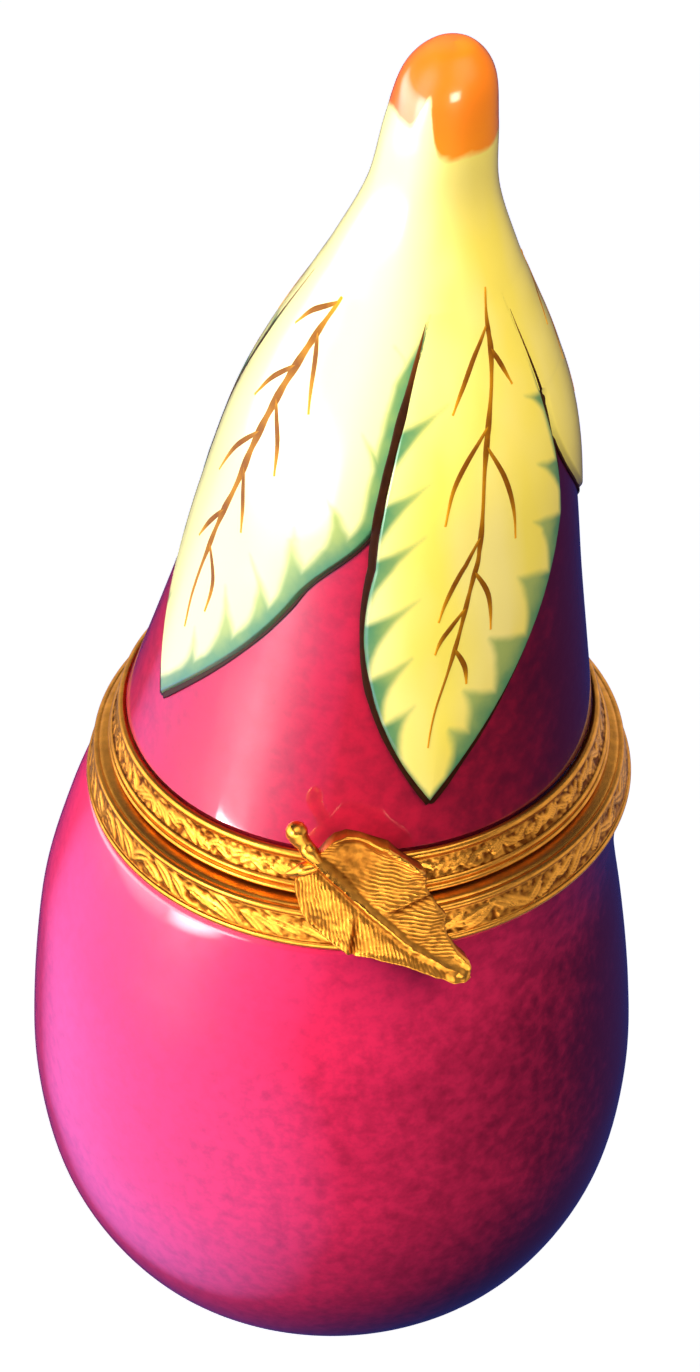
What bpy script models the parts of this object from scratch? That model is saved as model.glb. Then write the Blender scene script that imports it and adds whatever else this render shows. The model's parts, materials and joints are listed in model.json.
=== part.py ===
"""Eggplant trinket box: a hinged porcelain box in the shape of an eggplant, with brass mounts.

Units are metres with +Z up. The origin is the middle of the foot, the front is -Y, and the lid
opens backwards about a hinge at +Y. Sizes below are in millimetres and are scaled by MM.
"""
import math

import bmesh
import bpy
from mathutils import Matrix, Vector

MM = 0.001

# Driving heights of the upright box
SEAM_HEIGHT = 43.7
RIM_BOTTOM = 40.75
RIM_TOP = 46.6
CALYX_HEIGHT = 82.0
TIP_HEIGHT = 95.4

# Clearances between separate pieces
SEAM_HALF_GAP = 0.15
FIT_GAP = 0.3

# The body leans to +X above the belly, and the rims sit level on it
LEAN_START = 27.0
RIM_SHIFT = 1.82
LID_LEAN = 5.0
LEAN_EASING = 0.25
TIP_HOOK = 0.4

# Porcelain outlines, as radius and height
FOOT_RADIUS = 9.0
FOOT_EDGE = [(FOOT_RADIUS, 0.0), (11.6, 0.75)]
BOWL_OUTSIDE = [(11.6, 0.75), (14.0, 2.1), (16.8, 5.1), (19.05, 10.1), (20.0, 16.2), (19.9, 22.2),
                (19.15, 29.5), (18.05, 35.4), (17.35, 40.5)]
BOWL_NECK = [(16.3, 40.9), (16.3, 42.75)]
BOWL_INSIDE = [(14.1, 42.75), (14.9, 38.5), (16.7, 31.0), (17.7, 22.0), (17.4, 13.0), (14.6, 6.0),
               (10.0, 3.2), (0.0, 2.5)]
LID_NECK = [(14.45, 44.65), (14.45, 46.5)]
LID_OUTSIDE = [(14.85, 46.75), (13.8, 51.5), (12.55, 57.4), (11.45, 63.2), (10.2, 69.1),
               (8.35, 74.9), (5.75, 80.8), (3.95, 85.6), (3.35, 90.0), (2.75, 93.3), (1.5, 95.0),
               (0.0, TIP_HEIGHT)]
LID_INSIDE = [(0.0, 83.0), (2.6, 80.0), (6.0, 74.5), (8.0, 69.0), (9.3, 63.2), (10.4, 57.4),
              (11.6, 51.5), (12.2, 44.65)]
TURNING_STEPS = 48

# Brass rims, as radius and height above the seam
LID_RIM_PROFILE = [(14.85, 2.75), (15.05, 2.9), (15.3, 2.85), (15.42, 2.6), (15.28, 2.35),
                   (15.42, 1.6), (15.75, 0.95), (16.0, 0.7), (15.93, 0.5), (16.1, 0.3),
                   (16.0, SEAM_HALF_GAP), (12.0, SEAM_HALF_GAP), (12.0, 0.65), (14.85, 0.65)]
BASE_RIM_PROFILE = [(14.0, -0.6), (14.0, -SEAM_HALF_GAP), (16.05, -SEAM_HALF_GAP), (16.75, -0.3),
                    (17.0, -0.4), (17.08, -0.62), (16.97, -0.85), (17.1, -1.6), (17.35, -2.3),
                    (17.55, -2.55), (17.55, -2.8), (17.35, -2.95), (16.9, -2.95), (16.65, -0.6)]

# Sepals: middle angle from the front towards +X, half width, bend to the tip, tip height, relief
SEPALS = {
    "front": (23.3, 35.8, -11.5, 49.6, 0.50),
    "right": (99.0, 41.0, 4.0, 60.0, 0.44),
    "back_right": (168.0, 37.0, 6.0, 52.5, 0.50),
    "back_left": (231.0, 36.0, -4.0, 55.0, 0.46),
    "left": (295.0, 40.0, -6.0, 51.2, 0.46),
}
# Sides that spread until they touch a neighbour, with the share by which they are wider
SPREAD_SIDES = {
    ("left", 1): ("front", 0.37),
    ("right", -1): ("front", 0.0),
    ("right", 1): ("back_right", 0.0),
    ("back_left", -1): ("back_right", 0.0),
    ("back_left", 1): ("left", 0.0),
}
SHOULDER_START = 0.62
SHOULDER_RUN = 0.22
NECK_SPREAD = 1.2
NECK_SPREAD_START = 0.40
NECK_SPREAD_RUN = 0.20
SIDE_OVERLAP = 0.3
SEPAL_WIDEST = 0.44
SEPAL_NECK_LOSS = 0.37
SEPAL_ROOT = 0.9
SEPAL_SINK = 0.15
SEPAL_FADE = 0.14
SEPAL_COLUMNS = 8
SEPAL_ROWS = 14

# Hinge at the back, with its axis in the seam plane
HINGE_Y = 19.3
KNUCKLE_RADIUS = 1.4
BORE_RADIUS = 0.85
PIN_RADIUS = 0.55
PIN_HEAD_RADIUS = 0.95
LID_KNUCKLE_HALF = 2.0
HINGE_HALF = 5.7
PLATE_REACH = 2.6
PLATE_FRONT = 15.8
PLATE_GAP = 0.45
ROUND_STEPS = 24

# Catch stud on the front of the base rim
STUD_DROP = 1.7
STUD_RADIUS = 0.7
STUD_BACK = 16.75
STUD_FACE = 17.45
STUD_CROWN = 17.85

# Leaf clasp: outline beside its midrib, as distance along and across
LEAF_BASE = Vector((-4.4, 3.9))
LEAF_ANGLE = math.radians(-39.9)
LEAF_UPPER = [(0.0, 1.7), (0.6, 2.9), (1.6, 3.5), (3.2, 4.1), (4.9, 4.15), (6.3, 4.0), (6.9, 3.25),
              (8.4, 2.6), (9.1, 2.4), (9.6, 1.6), (10.9, 0.95), (12.3, 0.12)]
LEAF_LOWER = [(0.0, 1.3), (0.7, 2.15), (1.8, 2.8), (3.0, 3.25), (4.4, 3.0), (5.85, 2.95), (6.5, 2.2),
              (7.5, 1.7), (9.0, 1.25), (10.7, 1.0), (12.0, 0.5), (12.3, 0.12)]
LEAF_THICKNESS = 0.6
LEAF_CROWN = 0.45
LEAF_FACE = 17.85
LEAF_SLOPE = 0.30
LEAF_COLUMNS = 8
LEAF_ROWS = 16
STALK_LENGTH = 2.3
STALK_RADIUS = 0.55
CLASP_FOOT = ((-2.9, -17.1, 0.6), (-0.5, -16.42, 2.4))

# Finishes: linear colour, roughness, metallic
GLAZE = ("purple_glazed_porcelain", (0.48, 0.02, 0.12, 1.0), 0.12, 0.0)
BRASS = ("gilt_brass", (0.62, 0.33, 0.08, 1.0), 0.28, 1.0)


def remove_scene_objects():
    """Start from an empty scene."""
    for item in list(bpy.data.objects):
        bpy.data.objects.remove(item, do_unlink=True)


def new_collection(name):
    """Add a collection to the scene."""
    collection = bpy.data.collections.new(name)
    bpy.context.scene.collection.children.link(collection)
    return collection


def add_object(name, mesh, collection):
    """Put a mesh in the scene as an object."""
    item = bpy.data.objects.new(name, mesh)
    collection.objects.link(item)
    return item


def set_finish(item, finish):
    """Give an object a material of its own."""
    label, colour, roughness, metallic = finish
    material = bpy.data.materials.new(f"{label}_{item.name}")
    material.use_nodes = True
    shader = material.node_tree.nodes["Principled BSDF"]
    shader.inputs["Base Color"].default_value = colour
    shader.inputs["Roughness"].default_value = roughness
    shader.inputs["Metallic"].default_value = metallic
    item.data.materials.clear()
    item.data.materials.append(material)


def shade(item, angle):
    """Shade round faces smooth and keep edges sharper than the angle, in degrees."""
    item.data.shade_smooth()
    item.data.set_sharp_from_angle(angle=math.radians(angle))


def apply_modifiers(item):
    """Replace an object's mesh with what its modifiers make of it."""
    bpy.context.view_layer.update()
    evaluated = item.evaluated_get(bpy.context.evaluated_depsgraph_get())
    mesh = bpy.data.meshes.new_from_object(evaluated)
    item.modifiers.clear()
    item.data = mesh


def lean(height):
    """Sideways shift of the body's middle at a height in millimetres."""
    if height <= LEAN_START:
        return 0.0
    if height < RIM_BOTTOM:
        rise = (height - LEAN_START) / (RIM_BOTTOM - LEAN_START)
        return RIM_SHIFT * rise ** 3
    if height <= RIM_TOP:
        return RIM_SHIFT
    rise = (height - RIM_TOP) / (TIP_HEIGHT - RIM_TOP)
    bow = (1.0 + LEAN_EASING) * rise - LEAN_EASING * rise ** 2
    return RIM_SHIFT + LID_LEAN * bow + TIP_HOOK * rise ** 8


def lean_over(item):
    """Shift a turned piece sideways, height by height."""
    for vertex in item.data.vertices:
        vertex.co.x += lean(vertex.co.z / MM) * MM


def smooth_through(points, steps):
    """Round a line through its points, with a few steps between two of them."""
    ends = [points[0]] + list(points) + [points[-1]]
    line = []
    for before, start, end, after in zip(ends, ends[1:], ends[2:], ends[3:]):
        for step in range(steps):
            t = step / steps
            line.append(tuple(
                0.5 * (2 * b + (c - a) * t + (2 * a - 5 * b + 4 * c - d) * t ** 2
                       + (3 * b - a - 3 * c + d) * t ** 3)
                for a, b, c, d in zip(before, start, end, after)))
    line.append(tuple(points[-1]))
    return line


def between(points, place):
    """Read a line of pairs at a place on its first value."""
    for (start, low), (end, high) in zip(points, points[1:]):
        if start <= place <= end:
            return low + (high - low) * (place - start) / (end - start)
    return points[0][1] if place < points[0][0] else points[-1][1]


def ease(share):
    """Ease a share from 0 to 1, with no kink at either end."""
    share = min(1.0, max(0.0, share))
    return share * share * (3 - 2 * share)


def turned(name, profile, collection, closed, steps=TURNING_STEPS):
    """Turn a profile of radius and height about the upright axis."""
    mesh = bpy.data.meshes.new(name)
    points = [(radius * MM, 0.0, height * MM) for radius, height in profile]
    edges = [(index, index + 1) for index in range(len(points) - 1)]
    if closed:
        edges.append((len(points) - 1, 0))
    mesh.from_pydata(points, edges, [])
    item = add_object(name, mesh, collection)
    screw = item.modifiers.new("Turn", "SCREW")
    screw.axis = "Z"
    screw.angle = math.tau
    screw.steps = steps
    screw.render_steps = steps
    screw.use_merge_vertices = True
    screw.merge_threshold = 0.000001
    apply_modifiers(item)
    return item


def block(name, low, high, collection):
    """Make a box from its lowest and highest corners."""
    bpy.ops.mesh.primitive_cube_add(size=1.0)
    item = bpy.context.object
    move_to(item, name, collection)
    low, high = Vector(low), Vector(high)
    middle = Matrix.Translation((low + high) / 2 * MM)
    item.data.transform(middle @ Matrix.Diagonal(Vector((*((high - low) * MM), 1.0))))
    return item


def round_bar(name, radius, start, end, collection, steps=ROUND_STEPS, end_radius=None):
    """Make a round bar, or a tapered one, between two points."""
    start, end = Vector(start) * MM, Vector(end) * MM
    bpy.ops.mesh.primitive_cone_add(
        vertices=steps, radius1=radius * MM, radius2=(end_radius or radius) * MM,
        depth=(end - start).length, end_fill_type="NGON")
    item = bpy.context.object
    move_to(item, name, collection)
    turn = (end - start).to_track_quat("Z", "Y").to_matrix().to_4x4()
    item.data.transform(Matrix.Translation((start + end) / 2) @ turn)
    return item


def move_to(item, name, collection):
    """Rename a new primitive and put it in a collection."""
    item.name = name
    item.data.name = name
    for holder in list(item.users_collection):
        holder.objects.unlink(item)
    collection.objects.link(item)


def join_or_cut(item, others, operation):
    """Join other pieces to an object, or cut them out of it, and remove them."""
    for other in others:
        boolean = item.modifiers.new(operation.title(), "BOOLEAN")
        boolean.operation = operation
        boolean.solver = "EXACT"
        boolean.object = other
    apply_modifiers(item)
    for other in others:
        bpy.data.objects.remove(other, do_unlink=True)


def slab(name, columns, rows, place, collection):
    """Make a thin closed grid, and put each corner where place(across, along, layer) says."""
    shape = bmesh.new()
    bmesh.ops.create_grid(shape, x_segments=columns, y_segments=rows, size=1.0)
    layer = shape.verts.layers.int.new("layer")
    raised = bmesh.ops.extrude_face_region(shape, geom=shape.faces[:], use_keep_orig=True)
    for element in raised["geom"]:
        if isinstance(element, bmesh.types.BMVert):
            element[layer] = 1
    for vertex in shape.verts:
        across = math.sin(math.pi / 2 * vertex.co.x)
        along = (vertex.co.y + 1.0) / 2
        vertex.co = Vector(place(across, along, vertex[layer])) * MM
    bmesh.ops.triangulate(shape, faces=shape.faces[:])
    bmesh.ops.recalc_face_normals(shape, faces=shape.faces[:])
    mesh = bpy.data.meshes.new(name)
    shape.to_mesh(mesh)
    shape.free()
    return add_object(name, mesh, collection)


def add_base_bowl(collection):
    """The fat end of the eggplant: a hollow bowl that stands on a flat foot."""
    outside = smooth_through(BOWL_OUTSIDE, 2)
    inside = smooth_through(BOWL_INSIDE, 1)
    profile = [(0.0, 0.0)] + [FOOT_EDGE[0]] + outside + BOWL_NECK + inside
    item = turned("base_bowl", profile[::-1], collection, closed=False)
    lean_over(item)
    shade(item, 40)
    set_finish(item, GLAZE)


def lid_line():
    """The lid's rounded outside, as height and radius."""
    return [(height, max(radius, 0.0)) for radius, height in smooth_through(LID_OUTSIDE, 2)]


def sepal_half_width(along):
    """Share of a sepal's full half width at a place from its root to its tip."""
    if along < SEPAL_WIDEST:
        return 1.0 - SEPAL_NECK_LOSS * ((SEPAL_WIDEST - along) / SEPAL_WIDEST) ** 2
    taper = (along - SEPAL_WIDEST) / (1.0 - SEPAL_WIDEST)
    return max(math.cos(math.pi / 2 * taper), 0.015)


def own_edge(name, side, height):
    """Place along a sepal at a height, its middle and half width there, and its edge, in degrees."""
    middle, half_width, bend, tip_height, _ = SEPALS[name]
    along = min(1.0, (CALYX_HEIGHT - height) / (CALYX_HEIGHT - tip_height))
    middle += bend * math.sin(math.pi / 2 * max(0.0, 2 * along - 1))
    half = half_width * sepal_half_width(along)
    return along, middle, half, middle + side * half


def edge_angle(name, side, height, radius):
    """Angle of a sepal's edge, where some sides spread out to touch a neighbour."""
    along, middle, half, angle = own_edge(name, side, height)
    if (name, side) not in SPREAD_SIDES:
        return angle
    neighbour, wider = SPREAD_SIDES[(name, side)]
    spread = wider * ease((SHOULDER_START - along) / SHOULDER_RUN)
    spread += NECK_SPREAD * ease((NECK_SPREAD_START - along) / NECK_SPREAD_RUN)
    gap = (own_edge(neighbour, -side, height)[3] - middle + 180.0) % 360.0 - 180.0
    reach = abs(gap) + math.degrees(SIDE_OVERLAP / radius)
    return middle + side * min(half * (1.0 + spread), reach)


def add_sepal(name, line, collection):
    """One leaf of the calyx, a thin slab laid on the lid and sunk into it."""
    tip_height, relief = SEPALS[name][3:]

    def place(across, along, layer):
        height = CALYX_HEIGHT + (tip_height - CALYX_HEIGHT) * along
        low = edge_angle(name, -1, height, between(line, height))
        high = edge_angle(name, 1, height, between(line, height))
        angle = math.radians(low + (high - low) * (across + 1) / 2)
        edge = max(0.0, 1.0 - across ** 4) * min(1.0, along / SEPAL_FADE)
        rise = -SEPAL_SINK + (relief + SEPAL_SINK) * math.sqrt(edge)
        if along > 0.999:
            rise = -SEPAL_SINK
        radius = between(line, height) + (rise if layer else -SEPAL_ROOT)
        return radius * math.sin(angle), -radius * math.cos(angle), height

    return slab(f"sepal_{name}", SEPAL_COLUMNS, SEPAL_ROWS, place, collection)


def add_lid_shell(collection, cutters):
    """The thin end of the eggplant: a hollow lid with its raised calyx and its stem."""
    line = lid_line()
    outside = [(radius, height) for height, radius in line]
    profile = LID_INSIDE + LID_NECK + outside
    item = turned("lid_shell", profile[::-1], collection, closed=False)
    sepals = [add_sepal(name, line, cutters) for name in SEPALS]
    join_or_cut(item, sepals, "UNION")
    lean_over(item)
    shade(item, 40)
    set_finish(item, GLAZE)


def add_rims(collection, cutters):
    """The two brass rims, each with a flange that covers the porcelain edge."""
    for name, profile in (("lid_rim", LID_RIM_PROFILE), ("base_rim", BASE_RIM_PROFILE)):
        points = [(radius, SEAM_HEIGHT + rise) for radius, rise in profile]
        item = turned(name, points, collection, closed=True)
        lean_over(item)
        if name == "base_rim":
            height = SEAM_HEIGHT - STUD_DROP
            hole = round_bar("stud_hole", STUD_RADIUS + FIT_GAP, (RIM_SHIFT, -STUD_CROWN - 1, height),
                             (RIM_SHIFT, -STUD_BACK + 1, height), cutters, steps=16)
            join_or_cut(item, [hole], "DIFFERENCE")
        shade(item, 35)
        set_finish(item, BRASS)


def add_catch_stud(collection):
    """The round stud that the clasp snaps over, with its shank through the base rim."""
    profile = [(0.0, STUD_CROWN), (0.4, STUD_CROWN - 0.1), (STUD_RADIUS, STUD_FACE),
               (STUD_RADIUS, STUD_BACK), (0.0, STUD_BACK)]
    item = turned("catch_stud", profile, collection, closed=False, steps=16)
    item.data.transform(Matrix.Rotation(math.radians(90), 4, "X"))
    item.data.transform(Matrix.Translation(Vector((RIM_SHIFT, 0.0, SEAM_HEIGHT - STUD_DROP)) * MM))
    shade(item, 40)
    set_finish(item, BRASS)


def add_hinge_plate(name, knuckles, low, high, rim_radius, channel, collection, cutters):
    """A plate that follows the back of a rim and ends in its knuckles."""
    item = block(name, low, high, collection)
    axis = (HINGE_Y, SEAM_HEIGHT)
    rim = round_bar(f"{name}_rim", rim_radius + FIT_GAP, (RIM_SHIFT, 0, low[2] - 1),
                    (RIM_SHIFT, 0, high[2] + 1), cutters, steps=64)
    join_or_cut(item, [rim], "DIFFERENCE")
    if channel:
        room = round_bar(f"{name}_channel", KNUCKLE_RADIUS + FIT_GAP,
                         (RIM_SHIFT - channel, *axis), (RIM_SHIFT + channel, *axis), cutters)
        join_or_cut(item, [room], "DIFFERENCE")
    barrels = [round_bar(f"{name}_{index}", KNUCKLE_RADIUS, (RIM_SHIFT + start, *axis),
                         (RIM_SHIFT + end, *axis), cutters)
               for index, (start, end) in enumerate(knuckles)]
    join_or_cut(item, barrels, "UNION")
    bore = round_bar(f"{name}_bore", BORE_RADIUS, (RIM_SHIFT - HINGE_HALF - 1, *axis),
                     (RIM_SHIFT + HINGE_HALF + 1, *axis), cutters)
    join_or_cut(item, [bore], "DIFFERENCE")
    shade(item, 35)
    set_finish(item, BRASS)


def add_hinge(collection, cutters):
    """A three-knuckle hinge: two knuckles on the base, one on the lid, and a headed pin."""
    inner = LID_KNUCKLE_HALF + FIT_GAP
    add_hinge_plate("base_hinge_plate", [(-HINGE_HALF, -inner), (inner, HINGE_HALF)],
                    (RIM_SHIFT - HINGE_HALF, PLATE_FRONT, SEAM_HEIGHT - PLATE_REACH),
                    (RIM_SHIFT + HINGE_HALF, HINGE_Y, SEAM_HEIGHT - PLATE_GAP),
                    max(radius for radius, _ in BASE_RIM_PROFILE), inner, collection, cutters)
    add_hinge_plate("lid_hinge_plate", [(-LID_KNUCKLE_HALF, LID_KNUCKLE_HALF)],
                    (RIM_SHIFT - LID_KNUCKLE_HALF, PLATE_FRONT, SEAM_HEIGHT + PLATE_GAP),
                    (RIM_SHIFT + LID_KNUCKLE_HALF, HINGE_Y, SEAM_HEIGHT + PLATE_REACH),
                    max(radius for radius, _ in LID_RIM_PROFILE), 0.0, collection, cutters)
    head = HINGE_HALF + FIT_GAP
    half = [(0.0, head + 0.55), (0.5, head + 0.45), (PIN_HEAD_RADIUS, head + 0.2),
            (PIN_HEAD_RADIUS, head), (PIN_RADIUS, head)]
    profile = half + [(radius, -place) for radius, place in reversed(half)]
    pin = turned("hinge_pin", profile, collection, closed=False, steps=20)
    pin.data.transform(Matrix.Rotation(math.radians(90), 4, "Y"))
    pin.data.transform(Matrix.Translation(Vector((RIM_SHIFT, HINGE_Y, SEAM_HEIGHT)) * MM))
    shade(pin, 40)
    set_finish(pin, BRASS)


def on_clasp(along, across, depth):
    """A point of the clasp, from its place beside the midrib and its depth behind the face."""
    flat = LEAF_BASE + Matrix.Rotation(LEAF_ANGLE, 2) @ Vector((along, across))
    radius = LEAF_FACE - LEAF_SLOPE * flat.y - depth
    angle = flat.x / LEAF_FACE
    return (RIM_SHIFT + radius * math.sin(angle), -radius * math.cos(angle), SEAM_HEIGHT + flat.y)


def add_leaf_clasp(collection, cutters):
    """The cast leaf with its stalk, and the foot that fixes it to the lid rim."""
    length = LEAF_UPPER[-1][0]

    def place(across, along, layer):
        distance = length * along
        half_width = between(LEAF_UPPER if across > 0 else LEAF_LOWER, distance)
        crown = LEAF_CROWN * math.sin(math.pi * min(1.0, abs(across))) * math.sin(math.pi * along)
        depth = -crown + (0.0 if layer else LEAF_THICKNESS)
        return on_clasp(distance, across * half_width, depth)

    item = slab("leaf_clasp", LEAF_COLUMNS, LEAF_ROWS, place, collection)
    middle = LEAF_THICKNESS / 2
    stalk = round_bar("stalk", STALK_RADIUS, on_clasp(1.2, 0.0, middle),
                      on_clasp(-STALK_LENGTH, 0.3, middle), cutters, steps=12, end_radius=0.65)
    shift = Vector((RIM_SHIFT, 0.0, SEAM_HEIGHT))
    foot = block("clasp_foot", Vector(CLASP_FOOT[0]) + shift, Vector(CLASP_FOOT[1]) + shift, cutters)
    join_or_cut(item, [stalk, foot], "UNION")
    shade(item, 35)
    set_finish(item, BRASS)


def main():
    """Build the box, piece by piece."""
    remove_scene_objects()
    pieces = new_collection("eggplant_trinket_box")
    cutters = new_collection("cutters")
    add_base_bowl(pieces)
    add_lid_shell(pieces, cutters)
    add_rims(pieces, cutters)
    add_catch_stud(pieces)
    add_hinge(pieces, cutters)
    add_leaf_clasp(pieces, cutters)


main()
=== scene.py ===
"""Looks of the eggplant trinket box: painted and glazed porcelain with chased brass rims."""
import json
import math
import random

import bmesh
import bpy
import numpy as np
from mathutils import Matrix, Vector, noise

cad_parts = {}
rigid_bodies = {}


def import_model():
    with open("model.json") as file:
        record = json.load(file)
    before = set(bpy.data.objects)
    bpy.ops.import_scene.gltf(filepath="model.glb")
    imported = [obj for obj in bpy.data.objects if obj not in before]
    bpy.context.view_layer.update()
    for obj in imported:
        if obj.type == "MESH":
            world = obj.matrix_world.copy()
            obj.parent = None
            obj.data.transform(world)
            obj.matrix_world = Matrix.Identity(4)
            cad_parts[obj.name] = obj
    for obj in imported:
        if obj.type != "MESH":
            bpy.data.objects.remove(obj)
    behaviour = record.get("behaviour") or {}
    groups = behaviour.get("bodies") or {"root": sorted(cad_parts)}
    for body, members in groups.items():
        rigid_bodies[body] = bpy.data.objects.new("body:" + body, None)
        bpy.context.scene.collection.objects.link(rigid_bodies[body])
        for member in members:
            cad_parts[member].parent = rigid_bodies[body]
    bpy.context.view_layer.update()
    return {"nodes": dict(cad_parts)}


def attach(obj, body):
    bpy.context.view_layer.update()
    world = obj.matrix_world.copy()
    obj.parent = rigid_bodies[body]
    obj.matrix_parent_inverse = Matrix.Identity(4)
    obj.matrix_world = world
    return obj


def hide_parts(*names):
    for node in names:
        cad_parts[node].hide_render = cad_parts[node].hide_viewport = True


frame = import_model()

bl_info = {
    "name": "Eggplant trinket box",
    "version": (1, 0, 0),
    "blender": (4, 5, 0),
    "location": "View3D > Sidebar > Trinket box",
    "description": "Builds the painted porcelain, the brass mounts and the studio of the box",
    "category": "Object",
}

MM = 0.001

# Heights of the upright box, in millimetres
SEAM_HEIGHT = 43.7
RIM_BOTTOM = 40.75
RIM_TOP = 46.6
CALYX_HEIGHT = 82.0
TIP_HEIGHT = 95.4

# The body leans to +X above the belly, and the rims sit level on it
LEAN_START = 27.0
RIM_SHIFT = 1.82
LID_LEAN = 5.0
LEAN_EASING = 0.25
TIP_HOOK = 0.4

# Porcelain outlines, as radius and height
FOOT_RADIUS = 9.0
BOWL_OUTSIDE = [(11.6, 0.75), (14.0, 2.1), (16.8, 5.1), (19.05, 10.1), (20.0, 16.2), (19.9, 22.2),
                (19.15, 29.5), (18.05, 35.4), (17.35, 40.5)]
BOWL_NECK = [(17.0, 40.75), (16.45, 40.9), (16.3, 42.75)]
BOWL_INSIDE = [(14.1, 42.75), (14.9, 38.5), (16.7, 31.0), (17.7, 22.0), (17.4, 13.0), (14.6, 6.0),
               (10.0, 3.2), (0.0, 2.5)]
LID_NECK = [(14.45, 44.65), (14.5, 46.4)]
LID_OUTSIDE = [(14.85, 46.75), (13.8, 51.5), (12.55, 57.4), (11.45, 63.2), (10.2, 69.1),
               (8.35, 74.9), (5.75, 80.8), (3.95, 85.6), (3.35, 90.0), (2.75, 93.3), (1.5, 95.0),
               (0.0, TIP_HEIGHT)]
LID_INSIDE = [(0.0, 83.0), (2.6, 80.0), (6.0, 74.5), (8.0, 69.0), (9.3, 63.2), (10.4, 57.4),
              (11.6, 51.5), (12.2, 44.65)]

# Brass rims, as radius and height above the seam: the outside in smooth stretches, then the hidden part
CHASING_RADIUS = 16.3
LID_RIM_BAND = (2.2, 0.95)
LID_RIM_OUTSIDE = [
    [(14.88, 2.75), (15.05, 2.92), (15.3, 2.88), (15.43, 2.62), (15.3, 2.38), (15.26, 2.25)],
    [(15.26, 2.25), (15.42, 1.6), (15.72, 0.97)],
    [(15.72, 0.97), (15.86, 0.92), (15.98, 0.76), (15.9, 0.6), (15.88, 0.52)],
    [(15.88, 0.52), (16.02, 0.46), (16.1, 0.3), (16.02, 0.17), (15.9, 0.15)],
]
LID_RIM_HIDDEN = [(12.0, 0.15), (12.0, 0.65), (14.85, 0.65), (14.88, 2.0)]
BASE_RIM_BAND = (-0.95, -2.45)
BASE_RIM_OUTSIDE = [
    [(14.0, -0.15), (15.0, -0.15), (15.95, -0.16)],
    [(15.95, -0.16), (16.2, -0.2), (16.5, -0.26), (16.68, -0.36)],
    [(16.68, -0.36), (16.8, -0.34), (17.0, -0.42), (17.08, -0.62), (17.0, -0.82), (16.93, -0.9)],
    [(16.93, -0.9), (17.1, -1.6), (17.38, -2.45)],
    [(17.38, -2.45), (17.5, -2.5), (17.57, -2.68), (17.5, -2.88), (17.35, -2.95)],
]
BASE_RIM_HIDDEN = [(16.9, -2.95), (16.65, -0.6), (14.0, -0.6)]

# Sepals: middle angle from the front towards +X, half width, bend to the tip, tip height, relief
SEPALS = {
    "front": (23.3, 35.8, -11.5, 49.6, 0.50),
    "right": (99.0, 41.0, 4.0, 60.0, 0.44),
    "back_right": (168.0, 37.0, 6.0, 52.5, 0.50),
    "back_left": (231.0, 36.0, -4.0, 55.0, 0.46),
    "left": (295.0, 40.0, -6.0, 51.2, 0.46),
}
# Sides that spread until they touch a neighbour, with the share by which they are wider
SPREAD_SIDES = {
    ("left", 1): ("front", 0.37),
    ("right", -1): ("front", 0.0),
    ("right", 1): ("back_right", 0.0),
    ("back_left", -1): ("back_right", 0.0),
    ("back_left", 1): ("left", 0.0),
}
# Places along a sepal where its spread shoulder and neck end, as shares of its length
SHOULDER_START = 0.62
SHOULDER_RUN = 0.22
NECK_SPREAD = 1.2
NECK_SPREAD_START = 0.40
NECK_SPREAD_RUN = 0.20
SIDE_OVERLAP = 0.3
SEPAL_WIDEST = 0.44
SEPAL_NECK_LOSS = 0.37
# Relief of a sepal: how it stands proud, sinks at its edges and root, and fades in, all in mm
SEPAL_RISE = 0.03
SEPAL_SINK = 0.08
SEPAL_SINK_WIDTH = 0.1
SEPAL_ROOT = 0.9
SEPAL_FADE_START = 3.8
SEPAL_FADE = 9.5
ROOT_SINK = 0.06
ROOT_SINK_RUN = 3.0
SEPAL_STEP = 0.42
SEPAL_CROWN = 3.2
STEP_SHARE = 0.7
# Half widths of the painted veins, in mm
MIDRIB_WIDTH = {"front": 0.21, "left": 0.36}
VEIN_WIDTH = {"front": 0.16, "left": 0.19}

# Painted veins of a sepal, as (along, across) from root to tip
FRONT_VEINS = [
    [(0.02, 0.5), (0.07, 0.36), (0.125, 0.31), (0.18, 0.21), (0.25, 0.08), (0.33, -0.01),
     (0.44, -0.05), (0.53, -0.08), (0.65, -0.08), (0.73, -0.11), (0.8, -0.18), (0.87, -0.24)],
    [(0.085, 0.3), (0.131, -0.03), (0.183, -0.26), (0.218, -0.37)],
    [(0.252, 0.07), (0.3, -0.18), (0.35, -0.33), (0.415, -0.39)],
    [(0.452, -0.06), (0.508, -0.2), (0.565, -0.28), (0.609, -0.31)],
    [(0.59, -0.08), (0.624, -0.18), (0.65, -0.25), (0.676, -0.28)],
    [(0.124, 0.31), (0.158, 0.43), (0.199, 0.53)],
    [(0.287, 0.04), (0.349, 0.2), (0.416, 0.28), (0.481, 0.3)],
    [(0.52, -0.08), (0.576, 0.12), (0.651, 0.26)],
    [(0.671, -0.09), (0.713, 0.08), (0.751, 0.17)],
]
LEFT_VEINS = [
    [(0.058, 0.3), (0.129, 0.13), (0.211, 0.04), (0.284, 0.0), (0.375, -0.02), (0.448, -0.03),
     (0.537, -0.08), (0.626, -0.09), (0.748, -0.08), (0.819, 0.02)],
    [(0.136, 0.13), (0.183, 0.31), (0.266, 0.48)],
    [(0.278, 0.0), (0.339, 0.24), (0.401, 0.34)],
    [(0.425, -0.03), (0.489, 0.1), (0.547, 0.21)],
    [(0.624, -0.09), (0.681, 0.15), (0.751, 0.24)],
    [(0.07, 0.26), (0.114, -0.22), (0.159, -0.42)],
    [(0.208, 0.03), (0.259, -0.22), (0.313, -0.34)],
    [(0.351, -0.02), (0.416, -0.24), (0.491, -0.37)],
    [(0.538, -0.08), (0.594, -0.22), (0.641, -0.31)],
]
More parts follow.
